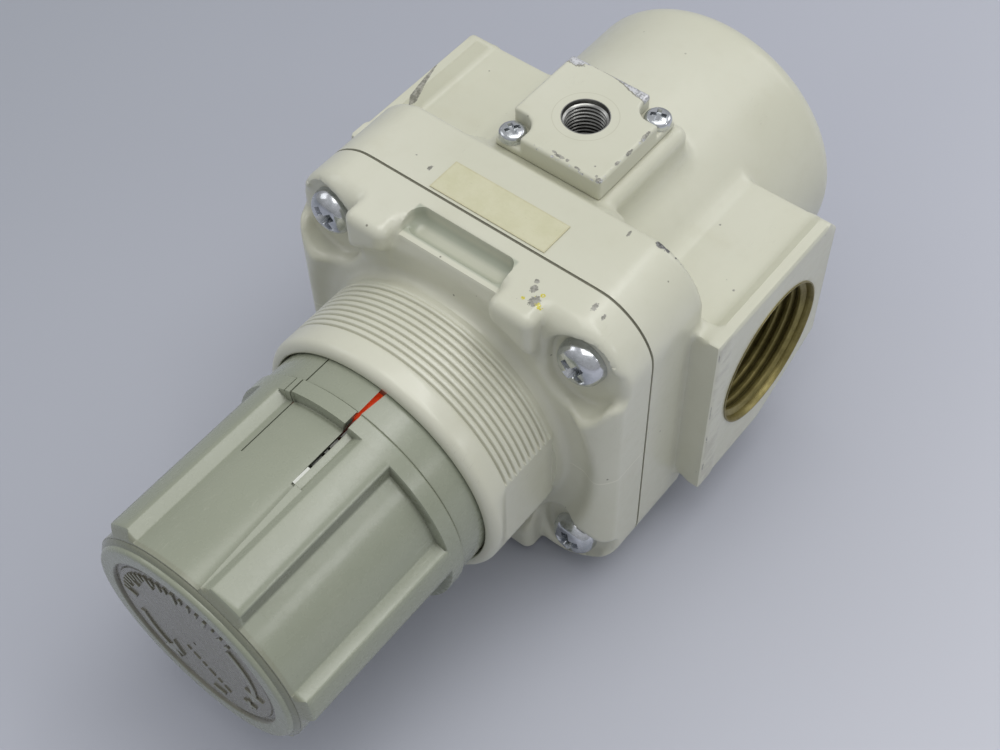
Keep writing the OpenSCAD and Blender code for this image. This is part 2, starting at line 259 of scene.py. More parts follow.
def contour(field, low, high, cell):
    """Dual contouring of field(x, y, z) < 0 on a cubic grid. Returns vertices and quads."""
    low = np.array(low, float) - 1.37 * cell
    count = np.ceil((np.array(high, float) + 1.5 * cell - low) / cell).astype(int) + 1
    axes = [low[i] + cell * np.arange(count[i]) for i in range(3)]
    values = np.empty(count)
    grid_x, grid_y = np.meshgrid(axes[0], axes[1], indexing="ij")
    for k in range(count[2]):
        values[:, :, k] = field(grid_x, grid_y, np.full_like(grid_x, axes[2][k]))
    values[np.abs(values) < 1e-7] = 1e-7
    inside = values < 0
    stride = np.array([count[1] * count[2], count[2], 1])
    unit = np.eye(3, dtype=int)
    quads, points, normals, owners = [], [], [], []
    for a in range(3):
        b, c = (a + 1) % 3, (a + 2) % 3
        first, second = [slice(None)] * 3, [slice(None)] * 3
        first[a], second[a] = slice(0, -1), slice(1, None)
        index = np.argwhere(inside[tuple(first)] != inside[tuple(second)])
        keep = (index[:, b] > 0) & (index[:, c] > 0)
        keep &= (index[:, b] < count[b] - 1) & (index[:, c] < count[c] - 1)
        index = index[keep]
        value0 = values[tuple(index.T)]
        value1 = values[tuple((index + unit[a]).T)]
        start, edge = low + index * cell, cell * unit[a]
        t = find_crossing(field, start, edge, value0, value1)
        crossing = start + t[:, None] * edge
        normal = gradient(field, crossing, 0.03 * cell)
        around = (index - unit[b] - unit[c], index - unit[c], index, index - unit[b])
        cells = np.stack([corner @ stride for corner in around], 1)
        flip = value0 > 0
        cells[flip] = cells[flip][:, ::-1]
        quads.append(cells)
        for corner in range(4):
            points.append(crossing)
            normals.append(normal)
            owners.append(cells[:, corner])
    quads = np.vstack(quads)
    ids, owner = np.unique(np.concatenate(owners), return_inverse=True)
    mean, shift = fit_corners(np.vstack(points), np.vstack(normals), owner, len(ids))
    place = np.stack([ids // stride[0], (ids // stride[1]) % count[1], ids % count[2]], 1)
    cell_low = low + place * cell
    verts = mean + shift
    stray = (verts < cell_low - 0.25 * cell) | (verts > cell_low + 1.25 * cell)
    stray = stray.any(1)
    verts[stray] = mean[stray]
    return verts, np.searchsorted(ids, quads)


# ---------------------------------------------------------------- distance fields
def soft_union(a, b, blend):
    h = np.maximum(blend - np.abs(a - b), 0) / blend
    return np.minimum(a, b) - h * h * blend * 0.25


def soft_common(a, b, blend):
    return -soft_union(-a, -b, blend)


def cut(solid, *holes):
    """Solid less the union of the holes."""
    for hole in holes:
        solid = np.maximum(solid, -hole)
    return solid


def round_common(a, b, r):
    """Common part of two fields, its meeting edge rounded to r."""
    if r == 0:
        return np.maximum(a, b)
    qa, qb = a + r, b + r
    outside = np.hypot(np.maximum(qa, 0), np.maximum(qb, 0))
    return np.minimum(np.maximum(qa, qb), 0) + outside - r


def slab(outline, z, z0, z1, edge0=0, edge1=0):
    """Prism from a 2D distance between z0 and z1, with rounded edges."""
    return np.maximum(round_common(outline, z0 - z, edge0), round_common(outline, z - z1, edge1))


def box(x, y, z, centre, half, edge):
    q = [np.abs(p - c) - h + edge for p, c, h in zip((x, y, z), centre, half)]
    largest = np.maximum(np.maximum(q[0], q[1]), q[2])
    return np.minimum(largest, 0) + np.sqrt(sum(np.maximum(i, 0) ** 2 for i in q)) - edge


def rod(distance, along, radius, start, end):
    """Cylinder from the distance to its axis and the place along it."""
    return np.maximum(distance - radius, np.maximum(start - along, along - end))


def flange_plan(x, y):
    """Square plan whose corner arcs meet the sides with a faint crease."""
    ax, ay = np.abs(x), np.abs(y)
    corner = np.hypot(np.maximum(ax - 26.5, 0), np.maximum(ay - 26.5, 0)) - 14.714
    return soft_common(np.maximum(ax, ay) - FLANGE_HALF, corner, 0.5)


# Bores on the valve axis of the body: radius, z from, z to
BODY_BORES = (
    (20, -1, 27), (CHAMBER_RADIUS, 26, 37), (11.55, -9, 0), (14, -30, -8),
    (19.03, -46, -29), (24.6, -51, -45), (25.6, -49.4, -48.05))


def port_lip(ax, y, z):
    """Flange lip round a port face, with its lower back corner clipped."""
    plan = np.maximum(np.abs(y) - 24.5, (np.abs(y) - 21.8 - (ax - 42.1)) * 0.7071)
    lip = soft_common(np.maximum(plan, 41.2 - ax), ax - PORT_FACE, 0.9)
    lip = soft_common(lip, np.maximum(-21 - z, z - 22.7), 0.9)
    lip = soft_common(lip, (y - 24.2 - (z + 18.1) * 1.15) * 0.656, 0.8)
    return soft_common(lip, -(y + 23.6) * 0.80 - (z + 2.6) * 0.45 - 0.2, 1.5)


def body_field(x, y, z):
    ax, ay = np.abs(x), np.abs(y)
    radius = np.hypot(x, y)
    # barrel with a rounded back edge, port blocks and gauge pads
    solid = slab(radius - 33.1, z, BODY_BACK, 24, edge0=6.2)
    block = box(ax, y, z, centre=(20, 0, 0), half=(23.5, 21.8, 20.5), edge=1.1)
    solid = soft_union(solid, block, 2.4)
    pad = box(x, ay, z, centre=(0, 18, 4), half=(15.6, 19.2, 16.2), edge=2.6)
    solid = soft_union(solid, pad, 3.6)
    # square flange, sloped towards the barrel on its back
    plan = flange_plan(x, y)
    flange = slab(plan, z, 19.5, BODY_FRONT, edge0=1.1)
    hip = np.maximum((plan + 0.4) + (19.6 - z), z - 34) * 0.72
    hip = soft_common(hip, ax - 19.0, 3.0)
    hip = np.maximum(np.maximum(hip, plan + 0.3), 14.5 - z)
    solid = soft_union(solid, np.minimum(flange, hip), 1.5)
    solid = soft_union(solid, port_lip(ax, y, z), 0.8)
    # low wall between each lip and the flange
    wall = box(ax, y, z, centre=(43.3, 0, 20.5), half=(4.2, 24.5, 2.2), edge=0.5)
    solid = soft_union(solid, np.maximum(wall, 38.8 - ax), 1.6)
    solid = soft_common(solid, ax - PORT_FACE, 0.9)
    # pipe ports, each with a side passage: inlet behind, outlet in front of the middle
    port = np.maximum(np.hypot(y, z) - PORT_BORE, 27.5 - ax)
    solid = cut(np.maximum(solid, z - BODY_FRONT), port)
    solid = cut(solid, rod(np.hypot(y, z + 13), x, radius=8.5, start=-28, end=0),
                rod(np.hypot(y, z - 7), x, radius=9, start=0, end=28))
    for bore in BODY_BORES:
        solid = cut(solid, rod(radius, z, *bore))
    # holes for the bonnet screws, and the gauge ports
    screw_axis = np.hypot(ax - BONNET_SCREW, ay - BONNET_SCREW)
    gauge_axis = np.hypot(x, z - GAUGE_Z)
    return cut(solid, np.maximum(screw_axis - BONNET_SCREW_HOLE, 22 - z),
               np.maximum(gauge_axis - 9.06, 28 - ay), np.maximum(gauge_axis - 3, 10 - ay))


def screw_recess(ax, ay, z):
    """Recess round a bonnet screw, running out at the port side and widening forwards."""
    floor = 44.4
    seat = np.hypot(ax - BONNET_SCREW, ay - BONNET_SCREW) - 6.8
    inner = np.hypot(ax - 31.2, ay - 26.7) - 7.3
    channel = np.maximum(np.abs(ay - 28.4) - 3.4, 31 - ax)
    plan = soft_union(soft_union(seat, inner, 2.0), channel, 2.0)
    plan = plan - np.maximum(z - floor, 0) * 0.12
    return round_common(plan, floor - z, 1.0)


def bonnet_field(x, y, z):
    ax, ay = np.abs(x), np.abs(y)
    radius = np.hypot(x, y)
    # plate with a heavy front rounding: forms the shells round the screws
    plan = flange_plan(x, y)
    solid = slab(plan, z, BONNET_BACK, 47.0, edge1=4.4)
    # raised walls on the port sides
    side = round_common(ax - FLANGE_HALF, z - 50.2, 7.0)
    side = soft_common(side, ay - 25.6, 2.2)
    side = np.maximum(side, 37 - z)
    # lugs, and the ridge in front of the pocket
    lug = box(ax, ay, z, centre=(17.7, 20, 40), half=(5.1, 21.0, 11.1), edge=2.3)
    ridge = slab(round_common(ax - 17, ay - 38.2, 3), z, 37, 48.6, edge1=5.4)
    solid = soft_union(solid, side, 1.8)
    solid = soft_union(solid, ridge, 1.0)
    solid = soft_union(solid, lug, 1.1)
    # trough round the neck, and the neck's root
    trough = np.hypot(np.maximum(np.abs(radius - 32.2) - 1.2, 0), z - 52.4) - 4.6
    solid = soft_common(solid, -trough, 2.2)
    solid = soft_union(solid, np.maximum(radius - 29.4, np.maximum(z - 50.5, 37 - z)), 2.6)
    # pocket, open towards the front above the ridge
    pocket = np.minimum(
        box(x, ay, z, centre=(0, 45, 42.6), half=(12.0, 8.1, 2.75), edge=2.4),
        box(x, ay, z, centre=(0, 45, 52), half=(12.2, 6.75, 10.2), edge=0.6))
    solid = soft_common(solid, -pocket, 0.5)
    solid = soft_common(solid, -screw_recess(ax, ay, z), 1.7)
    solid = np.maximum(np.maximum(solid, plan), BONNET_BACK - z)
    # diaphragm and spring chambers, screw holes, and a small hole across the lower wall
    return cut(solid, rod(radius, z, radius=CHAMBER_RADIUS, start=36, end=41),
               rod(radius, z, radius=27, start=40, end=60),
               np.hypot(ax - BONNET_SCREW, ay - BONNET_SCREW) - BONNET_SCREW_HOLE,
               rod(np.hypot(x, z - 50), y, radius=1.25, start=-40, end=-20))


def adapter_field(x, y, z):
    """Square gauge adapter; notches at two corners leave a thin plate for the screws."""
    z = z - GAUGE_Z
    bore = np.hypot(x, z)
    notch = 3.75
    solid = box(x, y, z, centre=(0, 39.93, 0), half=(ADAPTER_HALF, 2.67, ADAPTER_HALF), edge=0.75)
    solid = np.minimum(solid, rod(bore, y, radius=9.0, start=28.1, end=39))
    for s in (1, -1):
        u, w = x - s * ADAPTER_SCREW, z + s * ADAPTER_SCREW
        hole = np.hypot(u, w) - notch
        hole = np.minimum(hole, np.maximum(-s * u, np.abs(w) - notch))
        hole = np.minimum(hole, np.maximum(s * w, np.abs(u) - notch))
        solid = soft_common(solid, -np.maximum(hole, 39.2 - y), 0.7)
        solid = cut(solid, np.hypot(u, w) - 1.6)
    # threaded bore, and the groove of the sealing ring
    groove = np.maximum(np.maximum(7.4 - bore, bore - 10), np.abs(y - 31.2) - 1.0)
    return cut(solid, bore - 4.96, groove)


def plug_field(x, y, z):
    """Screwed plug with a hexagon socket, in the gauge port at -y."""
    z = z - GAUGE_Z
    r = np.hypot(x, z)
    solid = soft_common(r - 4.95, np.abs(y + 36.6) - 5.6, 0.5)
    angle = np.arctan2(x, z) % (math.pi / 3) - math.pi / 6
    return cut(solid, np.maximum(r * np.cos(angle) - 2.5, y + 38.0))


def screw_field(head_radius, head_height, shank_radius, length,
                cross_length, cross_width, cross_depth, flatness, softness):
    """Dome-headed screw along z with a tapered cross recess. flatness is the dome radius and
    softness the rim rounding, both in head radii; cross sizes are half widths."""
    def field(x, y, z):
        rho = np.hypot(x, y)
        dome_radius = head_radius * flatness
        dome = np.sqrt(rho ** 2 + (z - (head_height - dome_radius)) ** 2) - dome_radius
        head = np.maximum(soft_common(rho - head_radius, dome, head_radius * softness), -z)
        shank = np.maximum(rho - shank_radius, np.maximum(z - 0.1, -length - z))
        depth = head_height - z
        half_width = cross_width - 0.18 * depth
        half_length = cross_length - 0.55 * depth
        arm_y = np.maximum(np.abs(x) - half_width, np.abs(y) - half_length)
        arm_x = np.maximum(np.abs(y) - half_width, np.abs(x) - half_length)
        core = (np.abs(x) + np.abs(y)) * 0.7071 - (cross_width * 1.55 - 0.3 * depth)
        recess = np.minimum(np.minimum(arm_y, arm_x), core)
        return cut(np.minimum(head, shank),
                   np.maximum(recess, -(z - (head_height - cross_depth))))
    return field


# ---------------------------------------------------------------- turned pieces
# One turn of the neck's thread: z step, height from root (0) to crest (1)
NECK_THREAD = (
    (0.0, 1.0), (0.36, 1.0), (0.44, 0.93), (0.55, 0.60), (0.65, 0.16), (0.72, 0.03),
    (0.78, 0.0), (0.84, 0.03), (0.91, 0.16), (1.01, 0.60), (1.12, 0.93), (1.20, 1.0))
PLAIN, THREAD, COLLAR, SLOT = range(4)


def neck_mesh():
    """Threaded neck with flats at both port sides, and the slotted tower inside it."""
    rows = [(28.0, 47.4, PLAIN), (29.2, 47.4, PLAIN), (29.35, 49.2, PLAIN)]
    for turn in range(10):
        z = 50.57 + 1.5 * turn
        crest = NECK_CREST - (0.45 if turn == 0 else 0)
        rows += [(NECK_ROOT + (crest - NECK_ROOT) * k, z + dz, THREAD) for dz, k in NECK_THREAD]
    rows += [(NECK_CREST, 66.3, COLLAR), (NECK_CREST, 68.6, COLLAR)]
    inner = arc(NECK_CREST - 2.2, 68.8, 2.2, 0, 90, 8)[1:]
    inner += [(27.75, 71.0), (27.6, 70.85), (27.6, 62), (21.0, 62), (21.0, 99.4), (20.4, 100),
              (6.6, 100), (6.06, 99.4), (6.06, 96), (18.2, 96)]
    rows += [(r, z, PLAIN) for r, z in inner]
    rows += [(18.2, 92, SLOT), (18.2, 58.2, SLOT), (27.1, 58.2, PLAIN), (27.1, 47.4, PLAIN)]
    kinds = np.array([kind for _, _, kind in rows])
    # extra stations just inside and outside the slots' edges
    edges = [side + s * half for side in (90, 270) for half in (10.15, 10.3) for s in (-1, 1)]
    angles = sorted(set([round(a, 3) for a in np.arange(0, 360, 1.5)] + edges))

    def radius_at(r, z, angle, row):
        sine, cosine = np.abs(np.sin(angle)), np.abs(np.cos(angle))
        kind = kinds[row]
        flat = NECK_FLAT / np.maximum(sine, 0.2)
        r = np.where((kind == THREAD) & (flat < NECK_CREST), flat, r)
        r = np.where((kind == COLLAR) & (z < 67), np.minimum(r, flat + 0.35), r)
        in_slot = (kind == SLOT) & (cosine * 18.2 < 3.21)
        return np.where(in_slot, 20.05 / np.maximum(sine, 0.2), r)

    return lathe([row[:2] for row in rows], angles=angles, radius_at=radius_at)


# One turn of a pipe thread: depth step in pitches, height from root (0) to crest (1)
PIPE_THREAD = ((0.0, 0.0), (0.10, 0.0), (0.36, 0.9), (0.44, 1.0), (0.66, 1.0), (0.74, 0.9))


def pipe_thread_mesh(mouth, root, pitch, height, length, outer, rim, lip, segments):
    """Internal pipe thread as a turned sleeve; z is the depth into the hole."""
    profile = [(outer, 0.35), (rim, 0.35), (rim, 0.0), (rim - lip, 0.0), (mouth, 0.55)]
    z = 0.35 * pitch + 0.55
    for _ in range(int(length / pitch) - 1):
        turn_root = root - TAPER * z
        profile += [(turn_root - height * k, z + dz * pitch) for dz, k in PIPE_THREAD]
        z += pitch
    last = root - height - TAPER * z
    profile += [(last, z + 0.2), (last, length), (outer, length)]
    return lathe(profile, segments=segments)


# Diaphragm section from the valve axis outwards: radius, z; back face, then front face inwards
SHEET_BACK = ((5.05, 38.6), (24.3, 38.6), (25.0, 38.3), (26.0, 37.5), (27.6, 36.5),
              (28.8, 36.08), (30, 36.03))
SHEET_FRONT = ((30, 36.57), (29.0, 36.62), (27.9, 37.15), (26.6, 38.25), (25.7, 39.2),
               (24.9, 39.55), (24.2, 39.6), (5.05, 39.6))
# Square edge of the sheet: z, share of the edge radius
SHEET_EDGE = ((36.03, 0.995), (36.12, 1.0), (36.48, 1.0), (36.57, 0.995))


def diaphragm_mesh():
    """Rubber diaphragm: clamped square edge, rolled web and flat centre."""
    count = 144
    angle = np.arange(count) * 2 * math.pi / count
    # radius of the sheet's edge in each direction, by bisection, 0.16 inside the flange
    low, high = np.zeros(count), np.full(count, 70.0)
    for _ in range(40):
        middle = 0.5 * (low + high)
        distance = flange_plan(middle * np.sin(angle), middle * np.cos(angle)) + 0.16
        low = np.where(distance < 0, middle, low)
        high = np.where(distance < 0, high, middle)
    rings = list(SHEET_BACK) + [(low * share, z) for z, share in SHEET_EDGE] + list(SHEET_FRONT)
    loops = [np.stack([r * np.sin(angle), r * np.cos(angle), np.full(count, z)], 1)
             for r, z in rings]
    return np.stack(loops, 1).reshape(-1, 3), closed_quads(count, len(loops))


# ---------------------------------------------------------------- knob
KNOB_RADIUS, PANEL_RADIUS = 27.9, 25.6
RIBS = [24 + 60 * k for k in range(-1, 5)]
# Rib section: angle from its middle, radius
RIB_SECTION = ((0, 27.9), (6.8, 27.9), (7.15, 27.82), (7.5, 27.6), (10.4, 25.78),
               (10.9, 25.63), (11.4, 25.6), (30, 25.6))
# Further grid angles: the strip beside the wide slit, the narrow slit and the tab's end, the
# wide slit's edges, and the tongue between the slits
EXTRA_ANGLES = [
    14.0, 14.5, 16.4, 16.85, -24.9, -24.55, -21.75, -21.4, -20.95, -20.6,
    7.2, 7.6, 9.15, 9.55, 10.1, 10.6, 12.5, 12.9, -18, -15, -12, -9, -6, -3, 0, 3, 5.5]
KNOB_Z = np.array([
    67, 70.55, 70.75, 72.5, 74, 75.5, 76.95, 77.15, 77.3, 77.45, 77.6, 77.85, 78.9, 79.2, 80,
    80.95, 81.2, 81.3, 81.4, 81.6, 81.8, 82.1, 82.6, 84, 86, 88, 90.8, 91, 93, 95.3, 95.55,
    95.75, 96, 98, 100, 102.5, 105, 107.5, 110, 112.5, 115, 117.5, 119.2, 119.9, 120.15, 120.4,
    120.9, 121.25, 121.45])
SLIT_END = 95.75
# Grid lines that slant: grid angle, angle at the slit's end, angle at the knob's front,
# offset from the slit's edge, z below which the line follows that edge
SLANTED = (
    (9.15, 9.8, 12.1, 0.0, 95.8), (9.55, 10.1, 12.6, 0.3, 95.8), (10.1, 10.4, 13.2, 0.7, 78),
    (10.6, 10.8, 13.55, 1.2, 78), (12.5, 12.5, 13.75, 0, 0), (12.9, 12.9, 13.88, 0, 0),
    (14.0, 14.0, 14.1, 0, 0))
# Edges of the wide slit along z: z, angle
SLIT_EDGE_HIGH = ((67, 10.35), (70.75, 10.35), (77.3, 9.1), (77.85, 9.85), (95.75, 9.8))
SLIT_EDGE_LOW = ((70.75, 7.55), (77.3, 7.8), (78, 7.65), (91, 7.8), (95.75, 8.1), (100, 8.2))
# Strip between the wide slit and the next rib: angle, radius
STRIP = ((9.5, 25.6), (10.1, 26.55), (13.9, 26.6), (14.0, 26.62), (14.5, 26.8), (16.4, 27.62),
         (16.85, 27.84), (17.0, 27.9))
# Patches set to one radius: angle from, to, z from, to, radius
STRIP_PATCHES = ((9.0, 12.6, 79.1, 95.6, 26.25), (12.4, 13.0, 79.1, 95.6, 26.0))
BAND_PATCHES = (
    (-99, 999, 77.2, 77.4, 27.08), (-99, 999, 77.5, 77.7, 27.72),   # groove behind the band
    (-21.2, 7.5, 77.5, 81.25, 27.55), (-24.7, 7.3, 77.5, 81.15, 27.88),     # tongue and tab
    (-25.0, -24.7, 77.5, 81.3, 27.0), (-20.8, 7.3, 81.15, 81.75, 25.52))    # tab's grooves
# Lean of the wide slit's walls: grid angle, degrees
SLIT_LEAN = ((7.2, 1.35), (7.6, 1.55), (9.15, 1.0), (9.55, 0.6))
SLIT_COLUMNS = ((-21.7, -20.8), (7.6, 9.15))


def lookup(value, table):
    return np.interp(value, *zip(*table))


def knob_grid_angles():
    lines = list(EXTRA_ANGLES)
    for rib in RIBS:
        for offset in (0, 4, 6.8, 7.15, 7.5, 10.4, 10.9, 11.4):
            lines.append(rib + offset)
            # the strip takes the place of this side of the rib at 24 degrees
            if not (rib == 24 and offset > 7.0):
                lines.append(rib - offset)
        if rib != RIBS[0]:
            lines += [rib + offset for offset in range(16, 45, 4)]
    lines = sorted(set(round((line + 40) % 360 - 40, 3) for line in lines))
    kept = [lines[0]]
    for line in lines[1:]:
        if line - kept[-1] > 0.2:
            kept.append(line)
    return np.array(kept)


def knob_angles(grid, z):
    """True angle of each grid point: the lines by the wide slit follow its edges."""
    angle = grid.copy()
    forward = np.clip((z - SLIT_END) / 25.3, 0, 1)
    edge = lookup(z, SLIT_EDGE_HIGH)
    for line, at_slit, at_front, offset, below in SLANTED:
        on_line = np.abs(grid - line) < 0.01
        slant = at_slit + (at_front - at_slit) * forward
        angle[on_line] = np.where(z < below, edge + offset, slant)[on_line]
    on_line = np.abs(grid - 7.6) < 0.01
    angle[on_line] = lookup(z, SLIT_EDGE_LOW)[on_line]
    return np.maximum.accumulate(angle, axis=0)


def knob_radii(grid, z):
    """Outer and inner radius of each grid point."""
    def patched(radius, patches):
        for a0, a1, z0, z1, value in patches:
            zone = (grid > a0) & (grid < a1) & (z > z0) & (z < z1)
            radius = np.where(zone, value, radius)
        return radius

    outer = np.full_like(grid, PANEL_RADIUS)
    for rib in RIBS:
        away = np.abs((grid - rib + 180) % 360 - 180)
        outer = np.maximum(outer, lookup(away, RIB_SECTION))
    outer = np.where((grid > 9.5) & (grid < 17.0), lookup(grid, STRIP), outer)
    outer = patched(outer, STRIP_PATCHES)
    # smooth band at the back, with a slightly sloped wall down to each panel
    outer = np.where(z < 81.25, KNOB_RADIUS, outer)
    for row_z, least in ((81.3, 27.75), (81.4, 27.2)):
        outer = np.where(np.abs(z - row_z) < 0.05, np.maximum(outer, least), outer)
    outer = np.where(z > 77.5, outer, 27.2)
    outer = patched(outer, BAND_PATCHES)
    # front chamfer
    chamfer = lookup(z, ((119.9, 30), (120.15, 27.78), (120.4, 27.35), (121.45, 25.5)))
    outer = np.where(z > 120.0, np.minimum(outer, chamfer), outer)
    outer = np.where(z > 121.4, np.minimum(outer, 25.22), outer)
    inner = np.where(z < 82.55, 25.4, 23.3)
    inner = np.where(outer - inner < 0.08, outer - 0.4, inner)
    return outer, inner


def knob_shell():
    """Ribbed shell as a grid over angle and height with two real slits."""
    lines = knob_grid_angles()
    grid, z = np.meshgrid(lines, KNOB_Z, indexing="ij")
    angle = knob_angles(grid, z)
    outer, inner = knob_radii(grid, z)
    lean = np.zeros_like(angle)
    for line, degrees in SLIT_LEAN:
        lean[(np.abs(grid - line) < 0.01) & (z < 78.0)] = degrees

    def surface(radius, degrees):
        a = np.radians(degrees)
        return np.stack([radius * np.sin(a), radius * np.cos(a), z], -1).reshape(-1, 3)

    middle = 0.5 * (lines + np.roll(lines, -1))
    middle_z = 0.5 * (KNOB_Z[:-1] + KNOB_Z[1:])
    column = np.zeros(len(lines), bool)
    for a0, a1 in SLIT_COLUMNS:
        column |= (middle > a0) & (middle < a1)
    solid = ~(column[:, None] & ((middle_z > 70.7) & (middle_z < 95.5))[None])

    around, along = grid.shape
    faces = []
    for i in range(around):
        i2 = (i + 1) % around
        for j in range(along - 1):
            if not solid[i, j]:
                continue
            # outer corners a, b, c, d and the inner ones behind them
            a, b = i * along + j, i * along + j + 1
            d, c = i2 * along + j, i2 * along + j + 1
            ia, ib, ic, id_ = (k + around * along for k in (a, b, c, d))
            faces += [(a, b, c, d), (ia, id_, ic, ib)]
            if j == 0 or not solid[i, j - 1]:
                faces.append((a, d, id_, ia))
            if j == along - 2 or not solid[i, j + 1]:
                faces.append((b, ib, ic, c))
            if not solid[i - 1, j]:
                faces.append((a, ia, ib, b))
            if not solid[i2, j]:
                faces.append((d, c, ic, id_))
    return np.vstack([surface(outer, angle), surface(inner, angle - lean)]), faces


def knob_web():
    """End web and hub of the knob, with a hexagon socket."""
    corner = 6.1
    profile = [
        (corner, 106.15), (9.6, 106.15), (10, 106.5), (10, 115), (10.5, 115.5), (23.5, 115.5),
        (25.3, 117.0), (25.3, 121.46), (22, 121.48), (22, 117.85), (0.6, 117.85), (0.6, 117.0),
        (corner, 117.0)]

    def radius_at(r, z, angle, row):
        side = (angle + math.pi / 2) % (math.pi / 3) - math.pi / 6
        hexagon = corner * math.cos(math.pi / 6) / np.cos(side)
        return np.where((row == 0) | (row == len(profile) - 1), hexagon, r)

    return lathe(profile, angles=np.arange(0, 360, 3), radius_at=radius_at)


# Small blocks down in the wide slit: angle from, to, radius from, to, z from, to
SLIT_BLOCKS = (
    (8.1, 10.0, 25.3, 25.9, 78.4, 80.0), (8.5, 10.0, 25.3, 25.6, 80.6, 82.6),
    (8.0, 9.9, 23.8, 25.2, 83.2, 85.4), (8.5, 9.9, 23.8, 25.5, 86.1, 87.0),
    (8.1, 9.9, 23.8, 24.9, 87.6, 90.2), (8.15, 9.8, 23.4, 25.75, 91.2, 95.3))


def slit_blocks():
    faces = [(0, 1, 2, 3), (7, 6, 5, 4), (0, 4, 5, 1), (1, 5, 6, 2), (2, 6, 7, 3), (3, 7, 4, 0)]
    parts = []
    for a0, a1, r0, r1, z0, z1 in SLIT_BLOCKS:
        corners = ((a0, r0), (a1, r0), (a1, r1), (a0, r1))
        parts.append(([(*polar(r, a), z) for z in (z0, z1) for a, r in corners], faces))
    return join(parts)


# ---------------------------------------------------------------- end cap
RELIEF_BASE, RELIEF_TOP = 122.6, 123.12     # z of the raised marks on the cap


def ring_walls(sides):
    """Side faces between three stacked rings of vertices."""
    return [(r + k, r + (k + 1) % sides, r + sides + (k + 1) % sides, r + sides + k)
            for r in (0, sides) for k in range(sides)]


def ring_bar(start, end, r0=14.6, r1=15.9, bevel=0.12, steps=24):
    """Raised bar that follows a circle, with a bevelled top."""
    verts, faces = [], []
    for k, angle in enumerate(np.linspace(start, end, steps + 1)):
        top = RELIEF_TOP - (bevel if k in (0, steps) else 0.0) * 0.6
        section = ((r0, RELIEF_BASE), (r0, RELIEF_TOP - bevel), (r0 + bevel, top),
                   (r1 - bevel, top), (r1, RELIEF_TOP - bevel), (r1, RELIEF_BASE))
        verts += [(*polar(r, angle), z) for r, z in section]
    for k in range(steps):
        here, there = k * 6, (k + 1) * 6
        faces += [(here + j, here + j + 1, there + j + 1, there + j) for j in range(5)]
    faces.append((0, 5, 4, 3, 2, 1))
    faces.append(tuple(steps * 6 + j for j in range(6)))
    return np.array(verts), faces


def straight_bar(centre, length, width, turn=0, top=RELIEF_TOP, bevel=0.1):
    """Raised bevelled rectangle; turn is counter-clockwise from x, seen from the front."""
    c, s = math.cos(math.radians(turn)), math.sin(math.radians(turn))
    verts = []
    for inset, z in ((0, RELIEF_BASE), (0, top - bevel), (bevel, top)):
        for sx, sy in ((-1, -1), (1, -1), (1, 1), (-1, 1)):
            u, w = sx * (length / 2 - inset), sy * (width / 2 - inset)
            verts.append((centre[0] + u * c - w * s, centre[1] + u * s + w * c, z))
    return np.array(verts), [(8, 9, 10, 11), (3, 2, 1, 0)] + ring_walls(4)


def triangle(corners, bevel):
    """Raised triangle, corners counter-clockwise seen from the front."""
    outline = np.array(corners, float)
    inward = outline.mean(0) - outline
    top = outline + inward / np.linalg.norm(inward, axis=1)[:, None] * bevel * 1.6
    rings = ((outline, RELIEF_BASE), (outline, RELIEF_TOP - bevel), (top, RELIEF_TOP))
    verts = [(x, y, z) for ring, z in rings for x, y in ring]
    return np.array(verts), [(2, 1, 0), (6, 7, 8)] + ring_walls(3)


def cap_mesh():
    profile = [(0.4, 118.05), (21.6, 118.05), (21.9, 118.4), (21.9, 121.47), (25.32, 121.47),
               (25.3, 121.56), (24.62, 122.2), (24.4, 122.26)]
    profile += arc(24.4 - 0.9, 122.3, 0.9, 0, 90, 7)
    profile += [(21.6, 123.2), (20.75, 123.15), (20.5, 122.95), (20.35, 122.45), (19.55, 122.4),
                (19.4, 122.55), (19.3, 122.72), (16.6, 122.74), (8.0, 122.76), (0.4, 122.76)]
    parts = [lathe(profile, segments=160)]
    # curved arrows: tail, neck and tip angles
    for tail, neck, tip in ((46, 98, 113), (-104, -140, -154)):
        parts.append(ring_bar(min(tail, neck), max(tail, neck)))
        head = [polar(15.2, tip), polar(17.6, neck), polar(12.9, neck)]
        parts.append(triangle(head if tip < neck else head[::-1], bevel=0.12))
    # index ticks, their outer ends on one circle
    for k in range(20):
        angle = -82 + 6.5 * k
        length = (3.4, 1.8, 2.4, 1.8)[k % 4]
        width = 0.8 if k % 4 == 0 else 0.6
        parts.append(straight_bar(polar(18.2 - length / 2, angle), length, width, 90 - angle))
    # plus (its upright a hair lower, so that the tops do not coincide) and minus
    plus, minus = polar(15.6, 126), polar(15.6, 168)
    parts.append(straight_bar(plus, 3.2, 0.8))
    parts.append(straight_bar(plus, 0.8, 3.2, top=RELIEF_TOP - 0.004))
    parts.append(straight_bar(minus, 3.2, 0.8))
    # a triangle and a row of short bars
    parts.append(triangle([(-8.4, -10.9), (-5.4, -11.6), (-7.4, -7.2)], bevel=0.1))
    for k in range(6):
        centre = (-2.6 + 8.6 * k / 5.0, -4.6 - 7.0 * k / 5.0)
        parts.append(straight_bar(centre, 0.7, 1.9 if k % 2 else 1.2, turn=51, top=123.0))
    return join(parts)


# ---------------------------------------------------------------- shader helpers
def linear(colour):
    """Linear RGBA from 0-255 sRGB."""
    parts = [c / 255 for c in colour]
    return tuple(c / 12.92 if c <= 0.04045 else ((c + 0.055) / 1.055) ** 2.4
                 for c in parts) + (1.0,)


def fill(tree, shader_node, inputs):
    for key, value in inputs.items():
        if isinstance(value, Value):
            tree.links.new(value.socket, shader_node.inputs[key])
        else:
            shader_node.inputs[key].default_value = value


